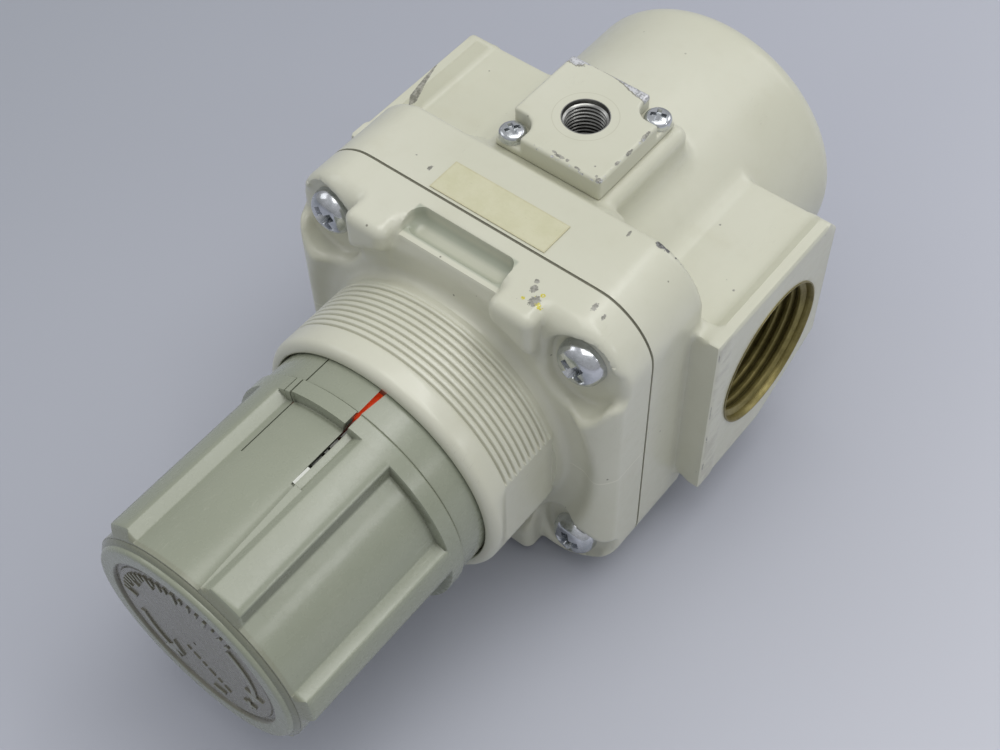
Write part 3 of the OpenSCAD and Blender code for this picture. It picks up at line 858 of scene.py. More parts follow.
def node(tree, kind, inputs, out=0, **settings):
    made = tree.nodes.new("ShaderNode" + kind)
    for key, value in settings.items():
        setattr(made, key, value)
    fill(tree, made, inputs)
    return Value(tree, made.outputs[out])


def calculate(operation, *values):
    tree = next(value.tree for value in values if isinstance(value, Value))
    return node(tree, "Math", dict(enumerate(values)), operation=operation)


def largest(a, b):
    return calculate("MAXIMUM", a, b)


def smallest(a, b):
    return calculate("MINIMUM", a, b)


def hypotenuse(a, b):
    return calculate("SQRT", a * a + b * b)


class Value:
    """A node output that can be reckoned with; each operation adds a node."""

    def __init__(self, tree, socket):
        self.tree = tree
        self.socket = socket

    def __add__(self, other):
        return calculate("ADD", self, other)

    def __radd__(self, other):
        return calculate("ADD", other, self)

    def __sub__(self, other):
        return calculate("SUBTRACT", self, other)

    def __rsub__(self, other):
        return calculate("SUBTRACT", other, self)

    def __mul__(self, other):
        return calculate("MULTIPLY", self, other)

    def __abs__(self):
        return calculate("ABSOLUTE", self)

    def ramp(self, off, on):
        """Smooth mask: 0 at off and beyond, 1 at on and beyond; either may be the larger."""
        limits = {1: off, 2: on, 3: 0.0, 4: 1.0} if off < on else {1: on, 2: off, 3: 1.0, 4: 0.0}
        return node(self.tree, "MapRange", {0: self, **limits}, interpolation_type="SMOOTHSTEP")


class Surface:
    """Builder for one procedural material. x, y, z are the working frame in millimetres.
    Colours are node values or 0-255 sRGB triples; texture scales are per millimetre."""

    def __init__(self, name):
        self.material = bpy.data.materials.new(name)
        self.material.use_nodes = True
        self.tree = self.material.node_tree
        self.tree.nodes.clear()
        output = self.tree.nodes.new("ShaderNodeOutputMaterial")
        self.shader = self.tree.nodes.new("ShaderNodeBsdfPrincipled")
        self.tree.links.new(self.shader.outputs[0], output.inputs[0])
        axes = self.tree.nodes.new("ShaderNodeSeparateXYZ")
        fill(self.tree, axes, {0: node(self.tree, "TexCoord", {}, out="Object")})
        row_x, row_y, row_z = (Value(self.tree, socket) for socket in axes.outputs)
        self.x = row_x * 1000.0
        self.z = row_y * -1000.0
        self.y = row_z * 1000.0
        self.point = self.vector(self.x, self.y, self.z)

    def vector(self, x, y, z):
        return node(self.tree, "CombineXYZ", {0: x, 1: y, 2: z})

    def noise(self, scale, detail=2.0, rough=0.5, stretch=None, warp=0.0):
        point = self.point
        if stretch:
            point = self.vector(self.x * stretch[0], self.y * stretch[1], self.z * stretch[2])
        return node(self.tree, "TexNoise", {
            "Scale": scale, "Detail": detail, "Roughness": rough, "Distortion": warp,
            "Vector": point})

    def hairlines(self, scale, stretch, warp):
        """Distance of a stretched noise from its middle: near 0 along thin lines."""
        return abs(self.noise(scale, stretch=stretch, warp=warp) - 0.5)

    def cells(self, scale):
        return node(self.tree, "TexVoronoi",
                    {"Scale": scale, "Randomness": 1.0, "Vector": self.point}, out="Distance")

    def distance(self, centre, scale=(1, 1, 1)):
        axes = zip((self.x, self.y, self.z), centre, scale)
        offset = self.vector(*((axis - c) * s for axis, c, s in axes))
        return node(self.tree, "VectorMath", {0: offset}, out="Value", operation="LENGTH")

    def spots(self, table, ragged):
        """Union of ragged spots; rows are x, y, z, radius and perhaps a scale per axis."""
        union = None
        for x, y, z, radius, *scale in table:
            reach = self.distance((x, y, z), scale or (1, 1, 1))
            reach = reach - (ragged - 0.5) * (radius * 1.7)
            spot = reach.ramp(off=radius * 1.02, on=radius * 0.88)
            union = spot if union is None else largest(union, spot)
        return union

    def mix(self, mask, under, over):
        under, over = (linear(c) if isinstance(c, tuple) else c for c in (under, over))
        return node(self.tree, "Mix", {0: mask, 6: under, 7: over}, out=2, data_type="RGBA")

    def cover(self, under, over, mask, amount):
        return self.mix(mask * amount, under, over)

    def between(self, mask, low, high):
        return node(self.tree, "Mix", {0: mask, 2: low, 3: high}, data_type="FLOAT")

    def occlusion(self, reach):
        """1 in the open, falling towards 0 in corners; reach in mm."""
        return node(self.tree, "AmbientOcclusion", {"Distance": reach / 1000.0}, out="AO",
                    samples=4, only_local=True)

    def bump(self, height, strength, depth, under=None):
        inputs = {"Strength": strength, "Distance": depth / 1000.0, "Height": height}
        if under is not None:
            inputs["Normal"] = under
        return node(self.tree, "Bump", inputs)

    def finish(self, color, rough, metal, normal, **more):
        inputs = {"Base Color": color, "Roughness": rough, "Metallic": metal, "Normal": normal}
        inputs.update({key.replace("_", " "): value for key, value in more.items()})
        fill(self.tree, self.shader, inputs)
        return self.material


# ---------------------------------------------------------------- cream paint
# Ragged spots: x, y, z, radius, then the scale per axis where it is not round
BODY_CHIPS = (
    (30.6, 40.9, 19.9, 1.25, 0.8, 1, 1), (32.3, 40.4, 19.8, 0.8, 0.8, 1, 1),
    (34.0, 39.3, 19.8, 0.45), (35.2, 38.6, 19.9, 0.4))
BODY_MARKS = (
    (24.2, 41.0, 21.8, 0.3, 1, 1, 0.35), (-16.6, 41.0, 31.6, 0.5, 1.2, 1, 0.6),
    (47.3, 21.5, 22.6, 0.16, 1, 0.12, 1), (47.2, 13.0, 22.7, 0.10, 1, 0.05, 1),
    (47.3, 3.0, 22.6, 0.13, 1, 0.05, 1), (47.2, -6.6, 22.5, 0.22, 1, 0.10, 1),
    (47.3, -17.0, 22.4, 0.24, 1, 0.15, 1), (46.4, -19.2, 22.7, 0.4, 1, 0.4, 1),
    (-21.0, 41.0, 30.5, 0.22), (24.9, 25.6, 5.6, 0.3), (28.4, 21.8, -6.0, 0.25),
    (40.2, 21.9, 6.9, 0.3), (36.1, -3.7, 40.9, 0.5))
BONNET_MARKS = (
    (20.2, 40.6, 45.6, 1.15, 1, 0.6, 0.8), (18.3, 40.9, 43.3, 0.75, 1, 1, 0.8),
    (17.6, 41.0, 41.6, 0.55), (17.2, 40.5, 47.0, 0.4), (21.6, 40.2, 44.0, 0.4),
    (29.6, 40.9, 39.8, 0.55, 1, 1, 0.5), (32.2, 40.5, 40.4, 0.5, 0.8, 1, 0.5))
BONNET_YELLOW = (
    (21.3, 40.3, 46.0, 0.8, 1, 0.7, 1), (20.6, 40.9, 43.6, 0.5),
    (18.0, 40.6, 46.2, 0.45, 1, 0.7, 1), (19.6, 40.7, 44.6, 0.35))
ADAPTER_HALO = ((-11.6, 42.6, -9.2, 2.35, 0.75, 1, 1.3),)
ADAPTER_CORNER = ((-11.6, 42.6, -9.2, 1.9, 0.75, 1, 1.3), (-9.0, 42.6, -9.9, 0.9, 0.5, 1, 1))
ADAPTER_MARKS = (
    (12.4, 42.5, 15.4, 0.8, 1, 1, 1.4), (11.4, 42.6, 14.9, 0.35),
    (2.6, 42.6, 14.9, 0.6, 0.5, 1, 1.4), (4.4, 42.6, 14.9, 0.4),
    (1.0, 42.6, 14.6, 0.3, 0.5, 1, 1), (12.6, 42.5, 0.5, 0.45, 1, 1, 0.25),
    (12.7, 42.5, 5.8, 0.4, 1, 1, 0.35), (9.6, 42.6, 12.9, 0.22), (-6.6, 42.6, 15.2, 0.22),
    (7.2, 42.6, 15.4, 0.3, 0.35, 1, 1), (12.5, 42.6, 9.6, 0.35, 1, 1, 0.5))


def paint_colour(m):
    """Cream with faint patches, dark specks, hairline scuffs and painted shade in the corners."""
    col = m.mix(m.noise(scale=0.022).ramp(off=0.3, on=0.7), (205, 205, 188), (198, 198, 179))
    patches = m.noise(scale=0.22, detail=3, rough=0.6).ramp(off=0.45, on=0.75)
    col = m.cover(col, (184, 182, 160), patches, amount=0.10)
    film = m.noise(scale=0.07, detail=4, rough=0.65).ramp(off=0.55, on=0.75)
    col = m.cover(col, (176, 170, 140), film, amount=0.12)
    specks = m.cells(scale=0.19).ramp(off=0.060, on=0.035)
    specks = specks * m.noise(scale=0.11).ramp(off=0.50, on=0.62)
    col = m.cover(col, (92, 88, 76), specks, amount=0.8)
    scuffs = m.hairlines(scale=1.1, stretch=(1.6, 0.35, 0.12), warp=0.6)
    scuffs = scuffs.ramp(off=0.010, on=0.002) * m.noise(scale=0.09).ramp(off=0.60, on=0.70)
    col = m.cover(col, (150, 148, 132), scuffs, amount=0.22)
    # painted shade: darker where the occlusion finds corners and creases
    corners = m.occlusion(reach=3.2).ramp(off=0.72, on=0.25)
    return m.cover(col, (124, 121, 96), corners, amount=0.38)


def ragged_noises(m):
    """Coarse and fine noise that fray the edges of chips and marks."""
    return m.noise(scale=0.9, detail=4, rough=0.7), m.noise(scale=2.2, detail=3, rough=0.7)


def finish_paint(m, col, coarse, bare, marks, chips=None, chip_colour=None, chip_metal=None,
                 yellow=None, fine=None):
    """Marks, yellow smears, chips down to metal and bare bores over the paint."""
    rough = m.between(m.noise(scale=0.5, detail=4, rough=0.6).ramp(off=0.35, on=0.75),
                      low=0.30, high=0.42)
    normal = m.bump(m.noise(scale=1.3), strength=0.10, depth=0.10)
    normal = m.bump(m.noise(scale=5.5), strength=0.05, depth=0.03, under=normal)
    mark_colour = m.mix(coarse.ramp(off=0.4, on=0.6), (96, 95, 88), (150, 148, 140))
    col = m.cover(col, mark_colour, marks, amount=0.85)
    if yellow is not None:
        col = m.mix(yellow * fine.ramp(off=0.42, on=0.50), col, (196, 186, 48))
    if chips is not None:
        col = m.mix(chips, col, chip_colour)
        rough = m.between(chips, low=rough, high=0.42)
        metal = chips * chip_metal
        normal = m.bump(1.0 - chips, strength=0.6, depth=0.12, under=normal)
        metal = largest(metal, bare * 0.8)
    else:
        metal = bare * 0.8
    col = m.mix(bare, col, (128, 128, 126))
    rough = m.between(bare, low=rough, high=0.5)
    return m.finish(col, rough, metal, normal, Coat_Weight=0.35, Coat_Roughness=0.16)


def body_paint(name):
    m = Surface(name)
    col = paint_colour(m)
    coarse, fine = ragged_noises(m)
    chips = m.spots(BODY_CHIPS, coarse)
    chip_colour = m.mix(fine.ramp(off=0.40, on=0.62), (88, 88, 86), (140, 140, 138))
    # painted shade: slanted dark sliver on the upper side of the inlet block, thicker towards its
    # front end, where the lip's low wall lies in shade
    sliver = m.x - (-45.75 + m.z * 0.228)
    thickness = m.z.ramp(off=-9.0, on=5.0) * m.z.ramp(off=8.4, on=5.6)
    sliver = abs(sliver) - thickness * 0.75
    sliver = (sliver + (fine - 0.5) * 0.5).ramp(off=0.03, on=-0.05)
    sliver = sliver * m.y.ramp(off=21.5, on=22.4) * m.z.ramp(off=8.4, on=7.8)
    marks = largest(m.spots(BODY_MARKS, fine), sliver)
    # rubbed port faces, and a stained ring round each port
    face = abs(m.x).ramp(off=47.2, on=47.45)
    rubbed = m.noise(scale=0.16, detail=5, rough=0.75, stretch=(1, 1.6, 0.8))
    col = m.cover(col, (148, 145, 132), face * rubbed.ramp(off=0.42, on=0.62), amount=0.36)
    ring = face * abs(hypotenuse(m.y, m.z) - 17.1).ramp(off=1.3, on=0.2)
    stain = m.noise(scale=0.5, detail=3, rough=0.6).ramp(off=0.40, on=0.60)
    col = m.mix(ring * 0.6 * stain, col, (150, 147, 108))
    # bare inside the ports, the back bore and the diaphragm chamber
    bare = hypotenuse(m.y, m.z).ramp(off=16.95, on=16.85) * abs(m.x).ramp(off=46.2, on=45.8)
    radius = hypotenuse(m.x, m.y)
    back = radius.ramp(off=26.2, on=26.0) * m.z.ramp(off=-49.9, on=-49.7)
    depth = m.z.ramp(off=20.0, on=21.0) * m.z.ramp(off=35.95, on=35.9)
    chamber = radius.ramp(off=31.3, on=31.1) * depth
    recess = radius.ramp(off=26.3, on=26.0) * m.z.ramp(off=-44.0, on=-46.0)
    bare = largest(largest(largest(bare, back), chamber), recess)
    return finish_paint(m, col, coarse, bare, marks, chips, chip_colour, chip_metal=0.7)


def bonnet_paint(name):
    m = Surface(name)
    col = paint_colour(m)
    coarse, fine = ragged_noises(m)
    marks = m.spots(BONNET_MARKS, fine)
    yellow = m.spots(BONNET_YELLOW, coarse)
    bare = hypotenuse(m.x, m.y).ramp(off=27.55, on=27.35)
    # light mould line on the middle plane of the side walls
    line = abs(m.y).ramp(off=0.28, on=0.10) * abs(m.x).ramp(off=30.5, on=32.0)
    col = m.cover(col, (224, 222, 205), line, amount=0.55)
    plan = abs(m.x).ramp(off=12.4, on=11.8) * abs(m.y).ramp(off=36.5, on=37.4)
    pocket = plan * (m.z.ramp(off=39.6, on=40.2) * m.z.ramp(off=45.8, on=45.1))
    col = m.cover(col, (143, 152, 134), pocket, amount=0.62)
    return finish_paint(m, col, coarse, bare, marks, yellow=yellow, fine=fine)


def adapter_paint(name):
    """Paint worn to metal along the back edge, one corner and the rims."""
    m = Surface(name)
    col = paint_colour(m)
    coarse, fine = ragged_noises(m)
    across = m.x * calculate("SIGN", m.y)
    growth = across.ramp(off=-3.5, on=6.5) * 2.1 + (coarse - 0.5) * 0.9
    band = m.z + 10.0 - growth
    top = abs(m.y).ramp(off=41.3, on=41.8)
    worn = band.ramp(off=0.24, on=0.16) * top * across.ramp(off=-9.5, on=-8.0)
    halo = band.ramp(off=0.52, on=0.36) * top * across.ramp(off=-9.5, on=-8.0)
    halo = largest(halo, m.spots(ADAPTER_HALO, coarse) * top)
    col = m.cover(col, (104, 102, 92), halo, amount=0.75)
    corner = m.spots(ADAPTER_CORNER, coarse)
    ends = largest(m.z.ramp(off=15.35, on=15.6), m.z.ramp(off=-9.35, on=-9.6))
    rim = largest(abs(m.x).ramp(off=12.35, on=12.6), ends)
    rim = rim * abs(m.y).ramp(off=42.0, on=42.3)
    rim = rim * m.noise(scale=0.7, detail=5, rough=0.75).ramp(off=0.575, on=0.60)
    chips = largest(largest(worn, corner), rim)
    chip_colour = m.mix(fine.ramp(off=0.36, on=0.56), (150, 151, 152), (214, 215, 218))
    marks = m.spots(ADAPTER_MARKS, fine)
    # circular scratch round the port
    radius = calculate("SQRT", m.x * m.x + (m.z - GAUGE_Z) * (m.z - GAUGE_Z))
    scratch = abs(radius - 6.8).ramp(off=0.12, on=0.03) * abs(m.y).ramp(off=42.5, on=42.58)
    col = m.cover(col, (150, 146, 120), scratch, amount=0.30)
    bare = radius.ramp(off=5.12, on=5.0)
    return finish_paint(m, col, coarse, bare, marks, chips, chip_colour, chip_metal=0.45)


# ---------------------------------------------------------------- grip plastic
def grip_colour(m):
    """Grey-green, slightly dusty, with specks, scuffs and painted shade in the corners."""
    col = m.mix(m.noise(scale=0.03).ramp(off=0.3, on=0.7), (146, 151, 133), (141, 146, 128))
    dust = m.noise(scale=0.12, detail=5, rough=0.7).ramp(off=0.45, on=0.72)
    col = m.cover(col, (166, 166, 150), dust, amount=0.08)
    specks = m.cells(scale=0.23).ramp(off=0.055, on=0.03)
    specks = specks * m.noise(scale=0.13).ramp(off=0.56, on=0.64)
    col = m.cover(col, (70, 70, 62), specks, amount=0.75)
    scuffs = m.hairlines(scale=0.9, stretch=(1.2, 1.2, 0.07), warp=0.4)
    scuffs = scuffs.ramp(off=0.008, on=0.002) * m.noise(scale=0.10).ramp(off=0.56, on=0.66)
    col = m.cover(col, (182, 184, 168), scuffs, amount=0.30)
    # painted shade: darker where the occlusion finds corners and creases
    corners = m.occlusion(reach=2.6).ramp(off=0.82, on=0.30)
    return m.cover(col, (70, 71, 58), corners, amount=0.62)


def finish_grip(m, col, grain):
    rough = m.between(m.noise(scale=0.4, detail=4, rough=0.6).ramp(off=0.3, on=0.8),
                      low=0.24, high=0.33)
    normal = m.bump(m.noise(scale=3.5, detail=3, rough=0.6), strength=grain, depth=0.04)
    normal = m.bump(m.noise(scale=0.12), strength=0.06, depth=0.25, under=normal)
    return m.finish(col, rough, 0.0, normal, Coat_Weight=0.35, Coat_Roughness=0.14)


def knob_plastic(name):
    m = Surface(name)
    col = grip_colour(m)
    radius = hypotenuse(m.x, m.y)
    # painted shade: darker on the inside of the shell, below a radius of 25.5 mm
    col = m.mix(radius.ramp(off=25.5, on=25.2), col, (96, 98, 88))
    # painted shade on rib side walls between 26 and 62 degrees, away from the strip by the slit
    angle = calculate("ARCTAN2", m.x, m.y)

    def sector(start, start_full, end, end_full):
        start, start_full, end, end_full = map(math.radians, (start, start_full, end, end_full))
        return angle.ramp(off=start, on=start_full) * angle.ramp(off=end, on=end_full)

    strip = sector(start=9.2, start_full=9.4, end=17.3, end_full=17.1)
    wall = radius.ramp(off=25.66, on=25.85) * radius.ramp(off=27.72, on=27.5)
    wall = wall * (m.z.ramp(off=81.3, on=81.5) * m.z.ramp(off=120.1, on=119.9))
    wall = wall * (1.0 - strip) * sector(start=26, start_full=28, end=62, end_full=60)
    col = m.cover(col, (94, 97, 78), wall, amount=0.55)
    col = m.cover(col, (112, 108, 88), m.z.ramp(off=120.2, on=120.6), amount=0.30)
    return finish_grip(m, col, grain=0.08)


def cap_plastic(name):
    m = Surface(name)
    col = grip_colour(m)

    def axis_distance():
        return m.distance((0, 0, 122), scale=(1, 1, 0))

    skirt = m.z.ramp(off=122.30, on=122.18) * axis_distance().ramp(off=23.8, on=24.2)
    col = m.cover(col, (92, 92, 76), skirt, amount=0.5)
    # darker disc, less so on the raised marks
    disc = axis_distance().ramp(off=21.2, on=20.4)
    shade = m.between(m.z.ramp(off=122.95, on=123.08), low=0.75, high=0.40)
    col = m.mix(disc * shade, col, (106, 101, 90))
    stain = m.noise(scale=0.35, detail=4, rough=0.65).ramp(off=0.46, on=0.66)
    col = m.cover(col, (92, 86, 74), disc * stain, amount=0.25)
    return finish_grip(m, col, grain=0.04)


# ---------------------------------------------------------------- metals, rubber, other
def zinc(name):
    """Bright zinc plating with faint stains and painted shade in its recesses and corners."""
    m = Surface(name)
    cloud = m.noise(scale=0.35, detail=4, rough=0.65)
    col = m.mix(cloud.ramp(off=0.35, on=0.7), (214, 216, 220), (186, 190, 192))
    stain = m.noise(scale=0.9, detail=3, rough=0.6).ramp(off=0.58, on=0.72)
    col = m.cover(col, (158, 158, 150), stain, amount=0.16)
    # painted shade: darker in the cross recesses and corners, where the occlusion is
    corners = m.occlusion(reach=1.6).ramp(off=0.6, on=0.15)
    col = m.cover(col, (62, 64, 60), corners, amount=0.6)
    rough = m.between(m.noise(scale=1.2, detail=3, rough=0.6).ramp(off=0.4, on=0.75),
                      low=0.15, high=0.30)
    grain = m.noise(scale=2.5, detail=3, rough=0.6)
    return m.finish(col, rough, 1.0, m.bump(grain, strength=0.10, depth=0.05))


def steel(name, light, dark, stretch, smoothest):
    """Machined or drawn steel with fine marks and a light oil stain."""
    m = Surface(name)
    lines = m.noise(scale=1.2, detail=4, rough=0.6, stretch=stretch)
    col = m.mix(lines.ramp(off=0.3, on=0.7), light, dark)
    stain = m.noise(scale=0.16, detail=5, rough=0.7).ramp(off=0.55, on=0.75)
    col = m.cover(col, (92, 82, 66), stain, amount=0.4)
    rough = m.between(lines, low=smoothest, high=smoothest + 0.18)
    return m.finish(col, rough, 1.0, m.bump(lines, strength=0.15, depth=0.04))


def brass(name):
    m = Surface(name)
    lines = m.noise(scale=1.0, detail=4, rough=0.6, stretch=(0.25, 0.25, 6.0))
    col = m.mix(lines.ramp(off=0.3, on=0.7), (188, 160, 92), (160, 132, 70))
    stain = m.noise(scale=0.25, detail=4, rough=0.7).ramp(off=0.52, on=0.72)
    col = m.cover(col, (108, 84, 44), stain, amount=0.5)
    rough = m.between(lines, low=0.22, high=0.42)
    return m.finish(col, rough, 1.0, m.bump(lines, strength=0.12, depth=0.04))


def rubber(name, dusty_edge=False):
    m = Surface(name)
    grain = m.noise(scale=1.5, detail=4, rough=0.7)
    col = m.mix(grain.ramp(off=0.35, on=0.7), (30, 30, 30), (44, 43, 42))
    bloom = m.noise(scale=0.2, detail=4, rough=0.7).ramp(off=0.55, on=0.75)
    col = m.cover(col, (70, 69, 64), bloom, amount=0.35)
    if dusty_edge:
        dust = largest(abs(m.x).ramp(off=40.0, on=40.4) * 0.85,
                       abs(m.y).ramp(off=40.0, on=40.4) * 0.75)
        dust = largest(dust, (abs(m.x) + abs(m.y)).ramp(off=50.0, on=58.0) * 0.7)
        col = m.mix(dust, col, m.mix(grain, (128, 126, 106), (100, 98, 82)))
    rough = m.between(grain, low=0.55, high=0.75)
    return m.finish(col, rough, 0.0, m.bump(grain, strength=0.2, depth=0.06))


def dark_plastic(name):
    m = Surface(name)
    cloud = m.noise(scale=0.5, detail=4, rough=0.65)
    col = m.mix(cloud.ramp(off=0.35, on=0.7), (58, 58, 60), (72, 72, 73))
    specks = m.cells(scale=0.4).ramp(off=0.06, on=0.03)
    col = m.cover(col, (120, 116, 104), specks, amount=0.5)
    grain = m.noise(scale=4.0, detail=3, rough=0.6)
    return m.finish(col, m.between(cloud, low=0.42, high=0.56), 0.0,
                    m.bump(grain, strength=0.12, depth=0.04))


def indicator(name):
    m = Surface(name)
    cloud = m.noise(scale=0.6, detail=4, rough=0.65)
    col = m.mix(cloud.ramp(off=0.35, on=0.7), (222, 66, 22), (200, 52, 18))
    # painted light: the orange glows faintly so that it stays bright down in the slit
    return m.finish(col, m.between(cloud, low=0.36, high=0.50), 0.0,
                    m.bump(m.noise(scale=3.0), strength=0.1, depth=0.04),
                    Emission_Color=col, Emission_Strength=0.35)


def label_film(name):
    """Blank film sticker, slightly yellowed, with worn edges and small scratches."""
    m = Surface(name)
    cloud = m.noise(scale=0.25, detail=4, rough=0.65)
    col = m.mix(cloud.ramp(off=0.3, on=0.7), (201, 199, 170), (195, 193, 161))
    # distance inside the sticker's outline
    left, right, back, front = -13.5, 14.5, 27.2, 35.4
    inset = smallest(smallest(m.x - left, right - m.x), smallest(m.z - back, front - m.z))
    inset = inset + (m.noise(scale=1.2, detail=3, rough=0.6) - 0.5) * 0.5
    col = m.cover(col, (176, 168, 130), inset.ramp(off=0.45, on=0.0), amount=0.45)
    scratches = m.hairlines(scale=0.8, stretch=(0.5, 1.0, 2.0), warp=0.5)
    col = m.cover(col, (160, 154, 128), scratches.ramp(off=0.006, on=0.001), amount=0.25)
    return m.finish(col, m.between(cloud, low=0.30, high=0.40), 0.0,
                    m.bump(m.noise(scale=0.9), strength=0.06, depth=0.05))


def port_thread(name):
    """Olive-brown cut thread in the pipe ports, with painted shade in the roots and further in.
    """
    m = Surface(name)
    cloud = m.noise(scale=0.35, detail=5, rough=0.7)
    col = m.mix(cloud.ramp(off=0.3, on=0.7), (138, 128, 76), (112, 102, 56))
    rings = m.noise(scale=1.0, detail=3, rough=0.6, stretch=(5.0, 0.2, 0.2))
    col = m.cover(col, (150, 140, 92), rings.ramp(off=0.4, on=0.7), amount=0.4)
    # painted shade: darker in the thread roots, where the occlusion is
    corners = m.occlusion(reach=2.0).ramp(off=0.75, on=0.3)
    col = m.cover(col, (36, 32, 18), corners, amount=0.7)
    # painted shade: darker further into the port
    col = m.cover(col, (34, 31, 22), abs(m.x).ramp(off=36.0, on=30.0), amount=0.6)
    rough = m.between(cloud, low=0.30, high=0.46)
    return m.finish(col, rough, 0.55, m.bump(rings, strength=0.15, depth=0.05))


def gauge_thread(name):
    m = Surface(name)
    rings = m.noise(scale=1.0, detail=3, rough=0.6, stretch=(0.2, 5.0, 0.2))
    col = m.mix(rings.ramp(off=0.35, on=0.7), (176, 176, 172), (130, 130, 126))
    # painted shade: darker in the thread roots, where the occlusion is
    corners = m.occlusion(reach=1.4).ramp(off=0.75, on=0.25)
    col = m.cover(col, (30, 29, 26), corners, amount=0.85)
    # painted shade: darker deeper into the port
    col = m.cover(col, (36, 35, 32), abs(m.y).ramp(off=39.5, on=34.0), amount=0.75)
    rough = m.between(rings, low=0.24, high=0.40)
    return m.finish(col, rough, 1.0, m.bump(rings, strength=0.15, depth=0.03))


def slit_block_plastic(name):
    """Dark blocks that stand for the shade down in the slit (painted shade), the frontmost one
    light.
    """
    m = Surface(name)
    cloud = m.noise(scale=0.8, detail=3, rough=0.6)
    # painted shade: the dark blocks take the place of the shadow in the slit
    dark = m.mix(cloud.ramp(off=0.4, on=0.6), (66, 67, 62), (104, 105, 98))
    col = m.mix(m.z.ramp(off=90.6, on=90.9), dark, (214, 216, 208))
    return m.finish(col, 0.5, 0.0, m.bump(m.noise(scale=3.0), strength=0.1, depth=0.04))


MATERIALS = dict(
    body=body_paint("paint_body"),
    bonnet=bonnet_paint("paint_bonnet"),
    adapter=adapter_paint("paint_adapter"),
    knob=knob_plastic("grip_knob"),
    cap=cap_plastic("grip_cap"),
    zinc=zinc("zinc_plate"),
    spring=steel("spring_wire", light=(120, 122, 126), dark=(96, 98, 104),
                 stretch=(3.0, 3.0, 0.3), smoothest=0.3),
    steel=steel("turned_steel", light=(150, 151, 154), dark=(120, 121, 124),
                stretch=(0.25, 0.25, 6.0), smoothest=0.28),
    brass=brass("turned_brass"),
    rubber=rubber("nitrile_rubber"),
    sheet=rubber("diaphragm_rubber", dusty_edge=True),
    dark=dark_plastic("dark_moulding"),
    orange=indicator("indicator_orange"),
    label=label_film("label_film"),
    port=port_thread("port_thread"),
    gauge=gauge_thread("gauge_thread"),
    slit_blocks=slit_block_plastic("latch_bits"),
)


# ---------------------------------------------------------------- pieces
def add_piece(name, mesh, material, sharp, replaced, slot="cream_paint", part="housing"):
    piece = make(name, *mesh, MATERIALS[material], sharp)
    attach(piece, part)
    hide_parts(replaced)
    return piece


def add_castings():
    cell = 0.82
    mesh = contour(body_field, (-PORT_FACE, -FLANGE_HALF, BODY_BACK),
                   (PORT_FACE, FLANGE_HALF, BODY_FRONT), cell)
    add_piece("body_casting", mesh, "body", 40, "body")
    cell = 0.66
    mesh = contour(bonnet_field, (-FLANGE_HALF, -FLANGE_HALF, BONNET_BACK),
                   (FLANGE_HALF, FLANGE_HALF, 52), cell)
    add_piece("bonnet_casting", mesh, "bonnet", 40, "bonnet")
    add_piece("bonnet_neck", neck_mesh(), "bonnet", 50, "bonnet")


def add_port_threads():
    verts, quads = pipe_thread_mesh(mouth=16.45, root=16.35, pitch=2.21, height=1.12,
                                    length=19.4, outer=16.98, rim=17.0, lip=0.3, segments=150)
    across, up, depth = verts.T
    for side, name in ((1, "outlet_thread"), (-1, "inlet_thread")):
        placed = np.stack([side * (PORT_FACE + 0.02 - depth), across, up * side], 1)
        add_piece(name, (placed, quads), "port", 30, "body")


def add_gauge_ports():
    cell = 0.36
    verts, quads = contour(
        adapter_field, (-ADAPTER_HALF, 28.1, GAUGE_Z - ADAPTER_HALF),
        (ADAPTER_HALF, ADAPTER_FACE, GAUGE_Z + ADAPTER_HALF), cell)
    add_piece("gauge_adapter_plate", (verts, quads), "adapter", 40, "gauge_adapter")
    turned = verts * np.array([-1, -1, 1.0])
    add_piece("rear_adapter_plate", (turned, quads), "adapter", 40, "rear_adapter")
    verts, quads = pipe_thread_mesh(mouth=4.68, root=4.72, pitch=0.94, height=0.54,
                                    length=13.8, outer=5.0, rim=5.02, lip=0.14, segments=96)
    across, up, depth = verts.T
    placed = np.stack([across, ADAPTER_FACE + 0.02 - depth, up + GAUGE_Z], 1)
    add_piece("gauge_port_thread", (placed, quads), "gauge", 30, "gauge_adapter")
    mesh = contour(plug_field, (-5, -42.2, -2), (5, -31, 8), 0.22)
    add_piece("rear_port_plug", mesh, "zinc", 35, "rear_plug", "zinc_plate")


def add_bonnet_screws():
    """Four screws, turned to different angles as driven."""
    field = screw_field(head_radius=5.2, head_height=4.1, shank_radius=3.0, length=20.0,
                        cross_length=3.1, cross_width=0.90, cross_depth=2.0,
                        flatness=2.4, softness=0.5)
    verts, quads = contour(field, (-5.2, -5.2, -20), (5.2, 5.2, 4.1), 0.26)
    copies = [spin(verts, turn) + (side_x * BONNET_SCREW, side_y * BONNET_SCREW, 44.45)
              for side_x, side_y, turn in ((1, 1, 52), (-1, 1, 38), (1, -1, 17), (-1, -1, 71))]
    add_piece("bonnet_screw_set", stack_copies(copies, quads), "zinc", 35, "bonnet_screws",
              "zinc_plate")


def add_adapter_screws():
    field = screw_field(head_radius=2.9, head_height=2.05, shank_radius=1.5, length=9.0,
                        cross_length=1.75, cross_width=0.52, cross_depth=0.75,
                        flatness=3.2, softness=0.3)
    verts, quads = contour(field, (-2.9, -2.9, -9), (2.9, 2.9, 2.1), 0.17)
    for side, adapter in ((1, "gauge_adapter"), (-1, "rear_adapter")):
        copies = []
        for s, turn in ((1, 22), (-1, 61)):
            u, w, height = spin(verts, turn).T
            placed = np.stack([w + s * ADAPTER_SCREW, 39.25 + height,
                               u + GAUGE_Z - s * ADAPTER_SCREW], 1)
            copies.append(placed * np.array([side, side, 1.0]))
        add_piece(adapter + "_screw_pair", stack_copies(copies, quads), "zinc", 35,
                  adapter + "_screws", "zinc_plate")


